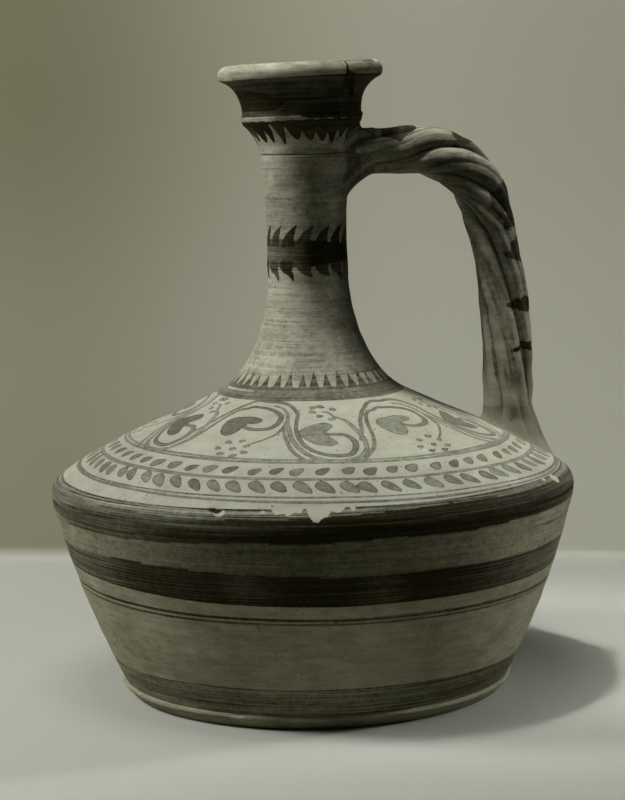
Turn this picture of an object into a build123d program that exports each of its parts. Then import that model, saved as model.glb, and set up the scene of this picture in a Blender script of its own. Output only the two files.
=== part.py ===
from build123d import *
import math
import os

# A tall-necked pottery wine jug, thrown on the wheel in parts that are luted together with wet clay:
# a low foot ring, a wide keeled belly, a sloping shoulder, a slender neck, a flaring mouth, and a
# handle of four clay rolls twisted like a rope, held by a pad of clay at each end.
# Millimetres, +Z up. The origin is on the jug's axis, in the plane that the foot stands on,
# and the handle stands towards +X.

# Heights of the foot and of the three seams, above the standing plane
foot_height = 5.6
keel_height = 77.5
collar_height = 113.9
groove_height = 203.8

# Foot ring: a low band of clay that flares to an edge just under the belly
foot_standing_radius = 72.2
foot_edge_radius = 75.3
foot_edge_thickness = 1.4
foot_edge_crown = 0.2
foot_heel_round = 0.8
foot_ring_width = 9.0
foot_inside_slope = 1.6

# Belly: a bowl whose side swells upwards to the keel
belly_foot_radius = 74.4
belly_waist_height = 39.0
belly_waist_radius = 88.9
keel_radius = 99.9
belly_brow_round = 19.0
belly_brow_turn = 16.0
belly_wall = 5.0
floor_thickness = 5.6
floor_corner_round = 9.0

# Shoulder: a wide cone that rounds over the keel and sweeps up a little at the collar
keel_round = 6.5
keel_round_turn = 52.0
shoulder_slope = 27.0
shoulder_wall = 4.8
collar_radius = 36.0
collar_seat_width = 5.5
shoulder_run_shares = (0.20, 0.58)
shoulder_rise_shares = (0.255, 0.62)

# Neck: flares from the collar into a slender stem that opens a little towards the mouth
stem_foot_radius = 15.4
stem_least_radius = 15.1
neck_top_radius = 16.7
neck_bore_radius = 10.5
flare_collar_pull = 13.0
flare_stem_pull = 22.0
stem_foot_share = 0.513
stem_least_share = 0.691

# Groove between the neck and the mouth, half of it cut in each
groove_width = 1.4
groove_depth = 0.5

# Mouth: thrown apart, then set on the neck at the groove, a little off centre and leaning
mouth_offset = 0.8
mouth_tilt = 1.4
mouth_foot_radius = 16.7
throat_height = 3.0
ridge_low_height = 11.5
ridge_low_radius = 22.5
ridge_high_height = 14.2
ridge_high_radius = 23.3
cavetto_height = 15.2
cavetto_radius = 22.6
lip_low_height = 28.1
lip_low_radius = 30.5
lip_face_height = 30.9
lip_radius = 31.2
lip_top_height = 33.6
lip_top_radius = 29.2
lip_crown = 0.4
lip_inside_height = 32.6
lip_inside_radius = 24.4
bowl_height = 18.0
bowl_radius = 18.2
flare_foot_share = 0.48
flare_swell_share = 0.44
flare_ridge_share = 0.78
cavetto_foot_share = 0.37
cavetto_lip_share = 0.82

# Handle: the line that the middle of the four rolls follows, in the plane Y = 0. It starts level at
# the neck pad, a little above the groove, turns down in a bend and ends upright over the shoulder,
# some way in from the keel
handle_rise = 0.4
handle_bend_radius = 28.7
handle_bend_turn = 75.0
handle_foot_inset = 23.1
handle_foot_slope = 30.0
leg_curve_share = 0.76

# Handle rolls: four rolls side by side in a square bundle, each with a shallow groove down its back
roll_count = 4
roll_valley_radius = 7.0
roll_crest_radius = 9.45
roll_crest_angle = 25.0
roll_groove_radius = 8.9
roll_slip = 0.1
station_spacing = 5.0
neck_end_share = 0.91
bend_share = 1.05

# Twist of the rolls: the length of handle that takes one full turn, along its three stretches
twist_start_angle = 41.0
twist_neck_pitch = 220.0
twist_bend_pitch = 100.0
twist_leg_pitch = 283.0
twist_neck_length = 15.0
twist_bend_length = 50.0

# Pads: clay pressed round the two ends of the handle
neck_pad_thickness = 6.3
shoulder_pad_thickness = 7.6
pad_margin = 0.5
neck_pad_waist_depth = 4.8
neck_pad_waist_height = 20.6
neck_pad_waist_width = 19.6
neck_pad_root_depth = 14.0
neck_pad_root_height = 30.0
neck_pad_root_width = 23.0
neck_pad_root_drop = 2.6
shoulder_pad_waist_drop = 3.6
shoulder_pad_waist_length = 24.6
shoulder_pad_waist_width = 21.6
shoulder_pad_root_drop = 14.5
shoulder_pad_root_length = 44.0
shoulder_pad_root_width = 33.0
shoulder_pad_root_reach = 5.0

# Every cut, and every stretch that is cut away again, runs past its surface by this much
overrun = 3.0

# A quarter turn, from level to upright
upright_turn = 90.0


def turned(edges):
    """A solid of revolution about the jug's axis, from an outline of (radius, height) edges."""
    return revolve(Plane.XZ * make_face(edges), axis=Axis.Z)


def filled(outer):
    """Everything within an outer outline, closed to the axis at its top and bottom."""
    low, high = outer[0] @ 0, outer[-1] @ 1
    closing = Polyline((high.X, high.Y), (0, high.Y), (0, low.Y), (low.X, low.Y))
    return turned([*outer, *closing.edges()])


def inwards(angle):
    """The direction in an outline that climbs towards the axis at an angle from level."""
    return (-math.cos(math.radians(angle)), math.sin(math.radians(angle)))


def foot_ring():
    """Low ring with a flat standing band, a flared outer face and a sloping inner face."""
    seat_inside = foot_standing_radius - foot_ring_width
    standing_inside = seat_inside + foot_inside_slope
    edge_height = foot_height - foot_edge_thickness
    outline = Polyline(
        (seat_inside, foot_height),
        (standing_inside, 0),
        (foot_standing_radius - foot_heel_round, 0),
        (foot_standing_radius, foot_heel_round),
        (foot_edge_radius, edge_height),
    )
    edge = ThreePointArc(
        (foot_edge_radius, edge_height),
        (foot_edge_radius - foot_edge_crown, edge_height + foot_edge_thickness / 2),
        (belly_foot_radius, foot_height),
    )
    seat = Line((belly_foot_radius, foot_height), (seat_inside, foot_height))
    return turned([*outline.edges(), edge, seat])


def belly_side(inset):
    """The belly's side from the foot up to the keel, moved inwards by an inset."""
    turn = math.radians(belly_brow_turn)
    brow = JernArc(
        start=(
            keel_radius - belly_brow_round * (1 - math.cos(turn)) - inset * math.cos(turn),
            keel_height - (belly_brow_round - inset) * math.sin(turn),
        ),
        tangent=(math.sin(turn), math.cos(turn)),
        radius=belly_brow_round - inset,
        arc_size=belly_brow_turn,
    )
    side = ThreePointArc(
        (belly_foot_radius - inset, foot_height),
        (belly_waist_radius - inset, belly_waist_height),
        brow @ 0,
    )
    return side, brow


def belly():
    """Thrown bowl with a flat floor, open at the keel."""
    floor_height = foot_height + floor_thickness
    hollow = split(
        filled(belly_side(belly_wall)), bisect_by=Plane.XY.offset(floor_height), keep=Keep.TOP
    )
    floor_edge = hollow.edges().group_by(Axis.Z)[0]
    return filled(belly_side(0)) - fillet(floor_edge, floor_corner_round)


def shoulder_curves(inset):
    """The shoulder from the keel to the collar, moved square to its slope by an inset."""
    shift = Vector(*inwards(90 + shoulder_slope)) * -inset
    keel = JernArc(
        start=(keel_radius - inset, keel_height),
        tangent=(0, 1),
        radius=keel_round - inset,
        arc_size=keel_round_turn,
    )
    turn = math.radians(keel_round_turn)
    low = Vector(
        keel_radius - keel_round * (1 - math.cos(turn)),
        keel_height + keel_round * math.sin(turn),
    )
    points = [
        (low.X + (collar_radius - low.X) * run, low.Y + (collar_height - low.Y) * rise)
        for run, rise in zip(shoulder_run_shares, shoulder_rise_shares)
    ]
    points.append((collar_radius, collar_height))
    slope = Spline(
        [keel @ 1, *(Vector(*point) + shift for point in points)],
        tangents=[inwards(90 - keel_round_turn), inwards(shoulder_slope)],
    )
    return keel, slope


def shoulder_height(radius):
    """How high the shoulder's outside is at a radius."""
    slope = shoulder_curves(0)[1]
    upright = Line((radius, keel_height), (radius, collar_height))
    return slope.distance_to_with_closest_points(upright)[1].Y


def shoulder():
    """Sloping ring that closes the belly, with a flat seat for the neck at its collar."""
    keel, slope = shoulder_curves(0)
    inner_keel, inner_slope = shoulder_curves(shoulder_wall)
    seat_inside = (collar_radius - collar_seat_width, collar_height)
    seat = Polyline((collar_radius, collar_height), seat_inside, inner_slope @ 1)
    rim = Line((keel_radius - shoulder_wall, keel_height), (keel_radius, keel_height))
    return turned([keel, slope, *seat.edges(), inner_slope, inner_keel, rim])


def up_neck(share):
    """The height at a share of the way up the neck, from the collar to the groove."""
    return collar_height + (groove_height - collar_height) * share


def neck_flare(collar, stem):
    """The curve of the neck's foot, from a radius at the collar to a radius at the stem."""
    rise = inwards(shoulder_slope)
    return Bezier(
        (collar, collar_height),
        (collar + rise[0] * flare_collar_pull, collar_height + rise[1] * flare_collar_pull),
        (stem, up_neck(stem_foot_share) - flare_stem_pull),
        (stem, up_neck(stem_foot_share)),
    )


def neck_outside():
    """The neck's outer outline, from the collar to the bottom of the groove."""
    flare = neck_flare(collar_radius, stem_foot_radius)
    stem_least = (stem_least_radius, up_neck(stem_least_share))
    stem_top = (neck_top_radius, groove_height - groove_width / 2)
    widening = (neck_top_radius - stem_least[0], groove_height - stem_least[1])
    stem = Spline([flare @ 1, stem_least, stem_top], tangents=[(0, 1), widening])
    groove = Line(stem_top, (neck_top_radius - groove_depth, groove_height))
    return flare, stem, groove


def neck():
    """Thrown tube that flares to the collar below and ends flat at the groove."""
    outside = neck_outside()
    bore_flare = neck_flare(collar_radius - collar_seat_width, neck_bore_radius)
    bore = Polyline(outside[-1] @ 1, (neck_bore_radius, groove_height), bore_flare @ 1)
    seat = Line((collar_radius - collar_seat_width, collar_height), (collar_radius, collar_height))
    return turned([*outside, *bore.edges(), bore_flare, seat])


def mouth_outside():
    """The mouth's outer outline from its seat: groove, flare, sharp ridge, cavetto and rounded lip."""
    seat_radius = mouth_foot_radius - groove_depth
    flare_start = (mouth_foot_radius, groove_width / 2)
    groove = Polyline((seat_radius, -overrun), (seat_radius, 0), flare_start)
    flare = Bezier(
        flare_start,
        (mouth_foot_radius, ridge_low_height * flare_foot_share),
        (mouth_foot_radius + (ridge_low_radius - mouth_foot_radius) * flare_swell_share,
         ridge_low_height * flare_ridge_share),
        (ridge_low_radius, ridge_low_height),
    )
    ridge = Polyline(
        (ridge_low_radius, ridge_low_height),
        (ridge_high_radius, ridge_high_height),
        (cavetto_radius, cavetto_height),
    )
    cavetto_rise = lip_low_height - cavetto_height
    cavetto = Bezier(
        (cavetto_radius, cavetto_height),
        (cavetto_radius, cavetto_height + cavetto_rise * cavetto_foot_share),
        (cavetto_radius + (lip_low_radius - cavetto_radius) * (1 - cavetto_lip_share),
         cavetto_height + cavetto_rise * cavetto_lip_share),
        (lip_low_radius, lip_low_height),
    )
    lip = ThreePointArc(
        (lip_low_radius, lip_low_height), (lip_radius, lip_face_height), (lip_top_radius, lip_top_height)
    )
    return [*groove.edges(), flare, *ridge.edges(), cavetto, lip]


def mouth_place():
    """Where the mouth's own axis stands: off centre at the groove, and leaning away from the handle."""
    return Pos(-mouth_offset, 0, groove_height) * Rot(0, -mouth_tilt, 0)


def mouth():
    """Flaring mouth with a rounded lip over a cavetto, cut level where it sits on the neck."""
    top_middle = (lip_top_radius + lip_inside_radius) / 2
    top = ThreePointArc(
        (lip_top_radius, lip_top_height), (top_middle, lip_top_height + lip_crown),
        (lip_inside_radius, lip_inside_height),
    )
    bowl = Spline(
        [top @ 1, (bowl_radius, bowl_height), (neck_bore_radius, throat_height)],
        tangents=[(bowl_radius - lip_inside_radius, bowl_height - lip_inside_height), (0, -1)],
    )
    outside = mouth_outside()
    throat = Polyline(bowl @ 1, (neck_bore_radius, -overrun), outside[0] @ 0)
    whole = mouth_place() * turned([*outside, top, bowl, *throat.edges()])
    return split(whole, bisect_by=Plane.XY.offset(groove_height), keep=Keep.TOP)


def handle_start():
    """Where the rolls start, at the face of the neck pad, as (reach from the axis, height)."""
    return neck_top_radius + neck_pad_thickness, groove_height + handle_rise


def handle_foot():
    """Where the middle of the rolls ends, at the face of the shoulder pad, as (reach, height)."""
    reach = keel_radius - handle_foot_inset
    return reach, shoulder_height(reach) + shoulder_pad_thickness


def handle_stretches():
    """The four stretches of the handle's middle line: level run, bend, curved leg and upright foot."""
    start, foot = handle_start(), handle_foot()
    turn = math.radians(handle_bend_turn)
    leg_height = start[1] - handle_bend_radius * (1 - math.cos(turn)) - foot[1]
    leg_radius = leg_height * leg_curve_share / math.cos(turn)
    run_end = foot[0] - handle_bend_radius * math.sin(turn) - leg_radius * (1 - math.sin(turn))
    run = Line(start, (run_end, start[1]))
    bend = JernArc(start=run @ 1, tangent=(1, 0), radius=handle_bend_radius, arc_size=-handle_bend_turn)
    leg = JernArc(
        start=bend @ 1, tangent=bend % 1, radius=leg_radius, arc_size=handle_bend_turn - upright_turn
    )
    past_face = roll_crest_radius * math.tan(math.radians(handle_foot_slope)) + overrun
    end = Line(leg @ 1, (foot[0], foot[1] - past_face))
    return run, bend, leg, end


def twist_at(distance):
    """How far the bundle of rolls has turned at a distance along the handle, in degrees."""
    on_neck = min(distance, twist_neck_length)
    on_bend = min(max(distance - twist_neck_length, 0), twist_bend_length)
    on_leg = max(distance - twist_neck_length - twist_bend_length, 0)
    turns = on_neck / twist_neck_pitch + on_bend / twist_bend_pitch + on_leg / twist_leg_pitch
    return twist_start_angle + 360 * turns


def swell_at(distance):
    """How thick the bundle is at a distance along the handle, as a share of the rolls' own size."""
    run, bend = handle_stretches()[:2]
    bend_middle = run.length + bend.length / 2
    if distance < bend_middle:
        return neck_end_share + (bend_share - neck_end_share) * distance / bend_middle
    if distance < bend_middle + bend.length:
        return bend_share + (1 - bend_share) * (distance - bend_middle) / bend.length
    return 1


def roll_section():
    """A quarter of the bundle: two flat sides, and a back of two lobes with a shallow groove between."""
    corner = roll_slip / 2
    crest_low = (
        roll_crest_radius * math.cos(math.radians(roll_crest_angle)),
        roll_crest_radius * math.sin(math.radians(roll_crest_angle)),
    )
    crest_high = (crest_low[1], crest_low[0])
    groove = (roll_groove_radius * math.cos(math.pi / 4), roll_groove_radius * math.sin(math.pi / 4))
    return make_face([
        Line((corner, corner), (roll_valley_radius, corner)),
        ThreePointArc((roll_valley_radius, corner), crest_low, groove),
        ThreePointArc(groove, crest_high, (corner, roll_valley_radius)),
        Line((corner, roll_valley_radius), (corner, corner)),
    ])


def station(line, distance):
    """The plane square to the handle at a distance, turned with the twist."""
    share = distance / line.length
    along = line % share
    front = Vector(0, -1, 0)
    outward = front.cross(along)
    angle = math.radians(twist_at(distance))
    return Plane(
        origin=line @ share,
        x_dir=front * math.cos(angle) + outward * math.sin(angle),
        z_dir=along,
    )


def shoulder_pad_face():
    """The slanting plane on which the rolls end, its X axis running down the shoulder's slope."""
    reach, height = handle_foot()
    slope = math.radians(handle_foot_slope)
    return Plane(
        origin=(reach, 0, height),
        x_dir=(math.cos(slope), 0, -math.sin(slope)),
        z_dir=(math.sin(slope), 0, math.cos(slope)),
    )


def handle_rolls():
    """The four rolls, each lofted through the same stations with its own quarter of the section."""
    line = Plane.XZ * Wire(handle_stretches())
    section = roll_section()
    spaces = round(line.length / station_spacing)
    distances = [line.length * index / spaces for index in range(spaces + 1)]
    rolls = []
    for number in range(roll_count):
        quarter = Rot(0, 0, 360 * number / roll_count)
        sections = [
            station(line, distance) * quarter * scale(section, swell_at(distance)) for distance in distances
        ]
        roll = loft(sections)
        rolls.append(split(roll, bisect_by=shoulder_pad_face(), keep=Keep.TOP))
    return rolls


def neck_pad(body):
    """Clay between the neck and the handle's upper end, seated on the body's own surface."""
    reach, height = handle_start()
    face = Plane(origin=(reach, 0, height), x_dir=(0, 1, 0), z_dir=(1, 0, 0))
    end_radius = roll_crest_radius * neck_end_share + pad_margin
    root = face.offset(-neck_pad_root_depth)
    sections = [
        root * Pos(0, -neck_pad_root_drop, 0) * Ellipse(neck_pad_root_width / 2, neck_pad_root_height / 2),
        face.offset(-neck_pad_waist_depth) * Ellipse(neck_pad_waist_width / 2, neck_pad_waist_height / 2),
        face * Ellipse(end_radius, end_radius),
    ]
    return loft(sections) - body


def shoulder_pad(body):
    """Clay between the shoulder and the handle's lower end, seated on the body's own surface."""
    face = shoulder_pad_face()
    end_radius = roll_crest_radius + pad_margin
    waist = Pos(0, 0, -shoulder_pad_waist_drop) * face
    root = Pos(shoulder_pad_root_reach, 0, -shoulder_pad_root_drop) * face
    sections = [
        root * Ellipse(shoulder_pad_root_length / 2, shoulder_pad_root_width / 2),
        waist * Ellipse(shoulder_pad_waist_length / 2, shoulder_pad_waist_width / 2),
        face * Ellipse(end_radius / math.cos(math.radians(handle_foot_slope)), end_radius),
    ]
    return loft(sections) - body


neck_body = filled(neck_outside()) + mouth_place() * filled(mouth_outside())
shoulder_body = filled([*belly_side(0), *shoulder_curves(0)])

pieces = {
    "foot_ring": foot_ring(),
    "belly": belly(),
    "shoulder": shoulder(),
    "neck": neck(),
    "mouth": mouth(),
    "neck_pad": neck_pad(neck_body),
    "shoulder_pad": shoulder_pad(shoulder_body),
}
for number, roll in enumerate(handle_rolls(), start=1):
    pieces[f"handle_roll_{number}"] = roll

os.makedirs("parts", exist_ok=True)
for name, piece in pieces.items():
    export_step(piece, f"parts/{name}.step")
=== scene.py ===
import math

import bpy
import numpy as np
from mathutils import Matrix, Vector


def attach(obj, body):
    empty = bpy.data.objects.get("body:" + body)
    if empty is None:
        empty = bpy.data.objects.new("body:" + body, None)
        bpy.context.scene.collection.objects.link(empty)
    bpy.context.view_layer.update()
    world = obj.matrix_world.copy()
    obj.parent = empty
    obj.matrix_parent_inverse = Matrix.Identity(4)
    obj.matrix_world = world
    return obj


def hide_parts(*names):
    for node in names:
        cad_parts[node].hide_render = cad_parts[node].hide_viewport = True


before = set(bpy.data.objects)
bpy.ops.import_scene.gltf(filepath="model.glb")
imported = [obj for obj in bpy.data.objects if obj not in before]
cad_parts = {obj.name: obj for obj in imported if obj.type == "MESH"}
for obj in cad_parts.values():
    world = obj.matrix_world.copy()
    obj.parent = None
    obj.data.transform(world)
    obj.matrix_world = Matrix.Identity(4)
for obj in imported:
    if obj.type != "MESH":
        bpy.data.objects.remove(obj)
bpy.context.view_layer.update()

mm = 0.001

# Foot ring
# A low band of clay thrown under the belly and flared outwards to a thin edge. It is left bare.
# It stands on its flat underside, and small chips at its edge have gone through to paler clay.

foot_height = 5.6 * mm
standing_radius = 72.2 * mm
edge_radius = 75.3 * mm
edge_thickness = 1.4 * mm
edge_crown = 0.2 * mm
heel_round = 0.8 * mm
ring_width = 9.0 * mm
inside_slope = 1.6 * mm
belly_foot_radius = 74.4 * mm
wide_columns = 640
skin_spacing = 0.62 * mm
hidden_spacing = 10 * mm


def tone(red, green, blue):
    """A colour as the shader wants it, from its 0 to 255 screen values."""
    linear = [
        value / 255 / 12.92 if value <= 10 else ((value / 255 + 0.055) / 1.055) ** 2.4
        for value in (red, green, blue)
    ]
    return (*linear, 1.0)


def run(*points):
    """A run of straight lines through points of an outline."""
    return np.array(points, float)


def arc(start, through, end, steps=60):
    """The arc from start to end through a third point."""
    (ax, ay), (bx, by), (cx, cy) = start, through, end
    d = 2 * (ax * (by - cy) + bx * (cy - ay) + cx * (ay - by))
    a2, b2, c2 = ax * ax + ay * ay, bx * bx + by * by, cx * cx + cy * cy
    middle = np.array([
        (a2 * (by - cy) + b2 * (cy - ay) + c2 * (ay - by)) / d,
        (a2 * (cx - bx) + b2 * (ax - cx) + c2 * (bx - ax)) / d,
    ])
    radius = math.hypot(ax - middle[0], ay - middle[1])
    first, second, last = (
        math.atan2(y - middle[1], x - middle[0]) for x, y in (start, through, end)
    )
    full = 2 * math.pi
    if (second - first) % full > (last - first) % full:
        angles = first - np.linspace(0, (first - last) % full, steps)
    else:
        angles = first + np.linspace(0, (last - first) % full, steps)
    return middle + radius * np.stack([np.cos(angles), np.sin(angles)], 1)


def spaced(curve, spacing):
    """A curve's points taken again at an even spacing, with its two ends kept."""
    curve = np.asarray(curve, float)
    gaps = np.linalg.norm(np.diff(curve, axis=0), axis=1)
    along = np.concatenate([[0], np.cumsum(gaps)])
    count = max(1, round(along[-1] / spacing))
    places = np.linspace(0, along[-1], count + 1)
    return np.stack([np.interp(places, along, values) for values in curve.T], 1)


def outline(*curves):
    """One closed outline from (curve, spacing) pairs that follow each other round."""
    return np.concatenate([spaced(curve, spacing)[:-1] for curve, spacing in curves])


def worn(points):
    """An outline with its corners worn a little round."""
    return (np.roll(points, 1, axis=0) + 2 * points + np.roll(points, -1, axis=0)) / 4


def ripple(x, y, z, size, seed):
    """Smooth unevenness, mostly from -1 to 1, whose swells are about a size apart."""
    draws = np.random.default_rng(seed)
    total = np.zeros(np.broadcast(x, y, z).shape)
    for _ in range(14):
        way = draws.normal(size=3)
        way *= 2 * math.pi / size * draws.uniform(0.6, 1.5) / np.linalg.norm(way)
        total += np.sin(x * way[0] + y * way[1] + z * way[2] + draws.uniform(0, 2 * math.pi))
    return total / 4


def thrown(places):
    """How far a thrown wall stands out of true: finger ridges, a slow swell, dimples and a fine drag."""
    x, y, z = np.moveaxis(places, -1, 0)
    ridges = ripple(x * 0.06, y * 0.06, z, 6.5 * mm, 3) * 0.07 * mm
    swell = ripple(x, y, z, 60 * mm, 5) * 0.16 * mm
    dimples = ripple(x, y, z, 9 * mm, 7) * 0.03 * mm
    drag = ripple(x * 0.12, y * 0.12, z, 1.7 * mm, 8) * 0.02 * mm
    return ridges + swell + dimples + drag


def spin(points, columns):
    """An outline turned about the axis: places and outward directions, both (rings, columns, 3).

    Column by column the turn goes from the back round by the left, the front and the handle's side.
    """
    turns = np.radians(np.arange(columns) * 360 / columns - 180)
    ahead = np.roll(points, -1, axis=0) - np.roll(points, 1, axis=0)
    normals = np.stack([ahead[:, 1], -ahead[:, 0]], 1)
    normals /= np.linalg.norm(normals, axis=1)[:, None]

    def turned(pairs):
        """Pairs of (radius, height) taken round to every column."""
        return np.stack([
            pairs[:, :1] * np.sin(turns), -pairs[:, :1] * np.cos(turns),
            np.repeat(pairs[:, 1:], columns, 1),
        ], 2)

    return turned(points), turned(normals)


def skin(name, grid, material, node, values, closed=True):
    """A piece from one grid of places (rings, columns, 3) whose columns join up, and its rings if closed.

    Values are named numbers for the grid's points, which the shader reads.
    """
    rows, columns = grid.shape[:2]
    index = np.arange(rows * columns).reshape(rows, columns)
    if closed:
        index = np.vstack([index, index[:1]])
    side = np.roll(index, -1, axis=1)
    faces = np.stack([index[:-1], side[:-1], side[1:], index[1:]], 2).reshape(-1, 4)
    mesh = bpy.data.meshes.new(name)
    mesh.vertices.add(rows * columns)
    mesh.vertices.foreach_set("co", grid.astype(np.float32).ravel())
    mesh.loops.add(faces.size)
    mesh.loops.foreach_set("vertex_index", faces.astype(np.int32).ravel())
    mesh.polygons.add(len(faces))
    mesh.polygons.foreach_set("loop_start", np.arange(0, faces.size, 4, dtype=np.int32))
    mesh.update(calc_edges=True)
    for key, numbers in values.items():
        attribute = mesh.attributes.new(key, "FLOAT", "POINT")
        attribute.data.foreach_set("value", numbers.astype(np.float32).ravel())
    mesh.validate()
    mesh.shade_smooth()
    mesh.set_sharp_from_angle(angle=math.radians(40))
    mesh.materials.append(material)
    made = bpy.data.objects.new(name, mesh)
    bpy.context.scene.collection.objects.link(made)
    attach(made, "root")
    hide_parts(node)


def add(tree, kind, inputs, **settings):
    """A shader node with its settings, and its inputs as values or other nodes' sockets."""
    made = tree.nodes.new(kind)
    for key, value in settings.items():
        setattr(made, key, value)
    for key, value in inputs.items():
        if isinstance(value, bpy.types.NodeSocket):
            tree.links.new(value, made.inputs[key])
        else:
            made.inputs[key].default_value = value
    return made


def calc(tree, operation, *values, clamp=False):
    """The result of one step of shader arithmetic."""
    inputs = dict(enumerate(values))
    return add(tree, "ShaderNodeMath", inputs, operation=operation, use_clamp=clamp).outputs[0]


def ramp(tree, value, low, high, out_low=0.0, out_high=1.0):
    """A value eased from one level to another as the input goes from low to high."""
    inputs = {"Value": value, "From Min": low, "From Max": high, "To Min": out_low, "To Max": out_high}
    return add(tree, "ShaderNodeMapRange", inputs, interpolation_type="SMOOTHSTEP").outputs[0]


def noise(tree, places, scale, detail, roughness):
    """Cloudy noise from 0 to 1 over places in metres, with a scale per metre."""
    inputs = {"Vector": places, "Scale": scale, "Detail": detail, "Roughness": roughness}
    return add(tree, "ShaderNodeTexNoise", inputs).outputs["Fac"]


def waver(tree, places, scale, detail, roughness):
    """The same noise from -0.5 to 0.5."""
    return calc(tree, "SUBTRACT", noise(tree, places, scale, detail, roughness), 0.5)


def on_object(tree):
    """Places on the object, in metres."""
    return add(tree, "ShaderNodeTexCoord", {}).outputs["Object"]


def drawn_out(tree, across, upwards):
    """Places on the object with their own scales sideways and upwards, for marks left by turning."""
    inputs = {"Vector": on_object(tree), "Scale": (across, across, upwards)}
    return add(tree, "ShaderNodeMapping", inputs).outputs[0]


def group(name, inputs, outputs):
    """An empty shader group with (label, number) inputs and labelled number outputs."""
    tree = bpy.data.node_groups.new(name, "ShaderNodeTree")
    for label, number in inputs:
        socket = tree.interface.new_socket(label, in_out="INPUT", socket_type="NodeSocketFloat")
        socket.default_value = number
    for label in outputs:
        tree.interface.new_socket(label, in_out="OUTPUT", socket_type="NodeSocketFloat")
    return tree, tree.nodes.new("NodeGroupInput").outputs, tree.nodes.new("NodeGroupOutput").inputs


def clay_grain():
    """Shared unevenness of fired clay: cloudy tone, turning lines, wiped marks, grit and dark specks."""
    inputs = [("Turning lines", 0.5), ("Mottle", 0.4)]
    tree, given, result = group("clay_grain", inputs, ["Shade", "Specks", "Height"])
    clouds = noise(tree, on_object(tree), 38.0, 4.0, 0.6)
    grit = noise(tree, on_object(tree), 1500.0, 3.0, 0.7)
    soft_layer = waver(tree, drawn_out(tree, 110, 330), 1.0, 5.0, 0.68)
    lines = waver(tree, drawn_out(tree, 30, 1000), 1.0, 4.0, 0.7)
    lined = calc(tree, "MULTIPLY_ADD", lines, given["Turning lines"], 0.5)
    shade = calc(tree, "MULTIPLY_ADD", clouds, 0.45, calc(tree, "MULTIPLY", grit, 0.25))
    shade = calc(tree, "MULTIPLY_ADD", soft_layer, given["Mottle"], shade)
    cells = add(tree, "ShaderNodeTexVoronoi", {"Vector": on_object(tree), "Scale": 340.0})
    sizes = noise(tree, on_object(tree), 150.0, 3.0, 0.7)
    speck_size = calc(tree, "MULTIPLY_ADD", sizes, 0.5, -0.1)
    frayed = calc(tree, "MULTIPLY_ADD", grit, 0.25, cells.outputs["Distance"])
    specks = ramp(tree, calc(tree, "SUBTRACT", frayed, speck_size), 0.12, 0.04)
    height = calc(tree, "MULTIPLY_ADD", grit, 0.5, lined)
    tree.links.new(calc(tree, "MULTIPLY_ADD", lined, 0.5, shade), result["Shade"])
    tree.links.new(specks, result["Specks"])
    tree.links.new(calc(tree, "MULTIPLY_ADD", specks, -0.8, height), result["Height"])
    return tree


def brushwork():
    """Shared look of brushed paint: how much of the clay it hides, from its edge and its load.

    Thin paint shows the hairs of the brush and dries darker along its rim.
    """
    inputs = [("Edge", 0.0), ("Load", 1.0), ("Wobble", 0.35), ("Streaks", 0.5)]
    tree, given, result = group("brushwork", inputs, ["Cover"])
    frayed = waver(tree, on_object(tree), 900.0, 3.0, 0.6)
    depth = calc(tree, "MULTIPLY_ADD", frayed, given["Wobble"], given["Edge"])
    hairs = waver(tree, drawn_out(tree, 14, 1700), 1.0, 4.0, 0.7)
    blotches = waver(tree, on_object(tree), 450.0, 4.0, 0.65)
    uneven = calc(tree, "MULTIPLY", blotches, 1.3)
    uneven = calc(tree, "MULTIPLY_ADD", calc(tree, "MULTIPLY", hairs, given["Streaks"]), 5.0, uneven)
    uneven = calc(tree, "MULTIPLY_ADD", ramp(tree, depth, 0.85, 0.2), 0.3, uneven)
    thin = calc(tree, "SUBTRACT", 1.12, given["Load"])
    thick = calc(tree, "MULTIPLY_ADD", uneven, thin, given["Load"], clamp=True)
    tree.links.new(calc(tree, "MULTIPLY", ramp(tree, depth, -0.16, 0.2), thick), result["Cover"])
    return tree


grain_group = clay_grain()
brush_group = brushwork()
bare_light = tone(158, 156, 133)
bare_dark = tone(108, 105, 82)
pale_clay = tone(156, 156, 138)
speck_colour = tone(60, 58, 46)
paint_colour = tone(26, 23, 0)
clay_sheen = 0.06
clay_roughness = 0.85
paint_roughness = 0.55


def use(tree, shared, inputs):
    """A shared shader group placed in a material."""
    return add(tree, "ShaderNodeGroup", inputs, node_tree=shared)


def over(tree, share, under, top):
    """One colour laid over another by a share from 0 to 1."""
    return add(tree, "ShaderNodeMix", {0: share, 6: under, 7: top}, data_type="RGBA").outputs[2]


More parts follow.
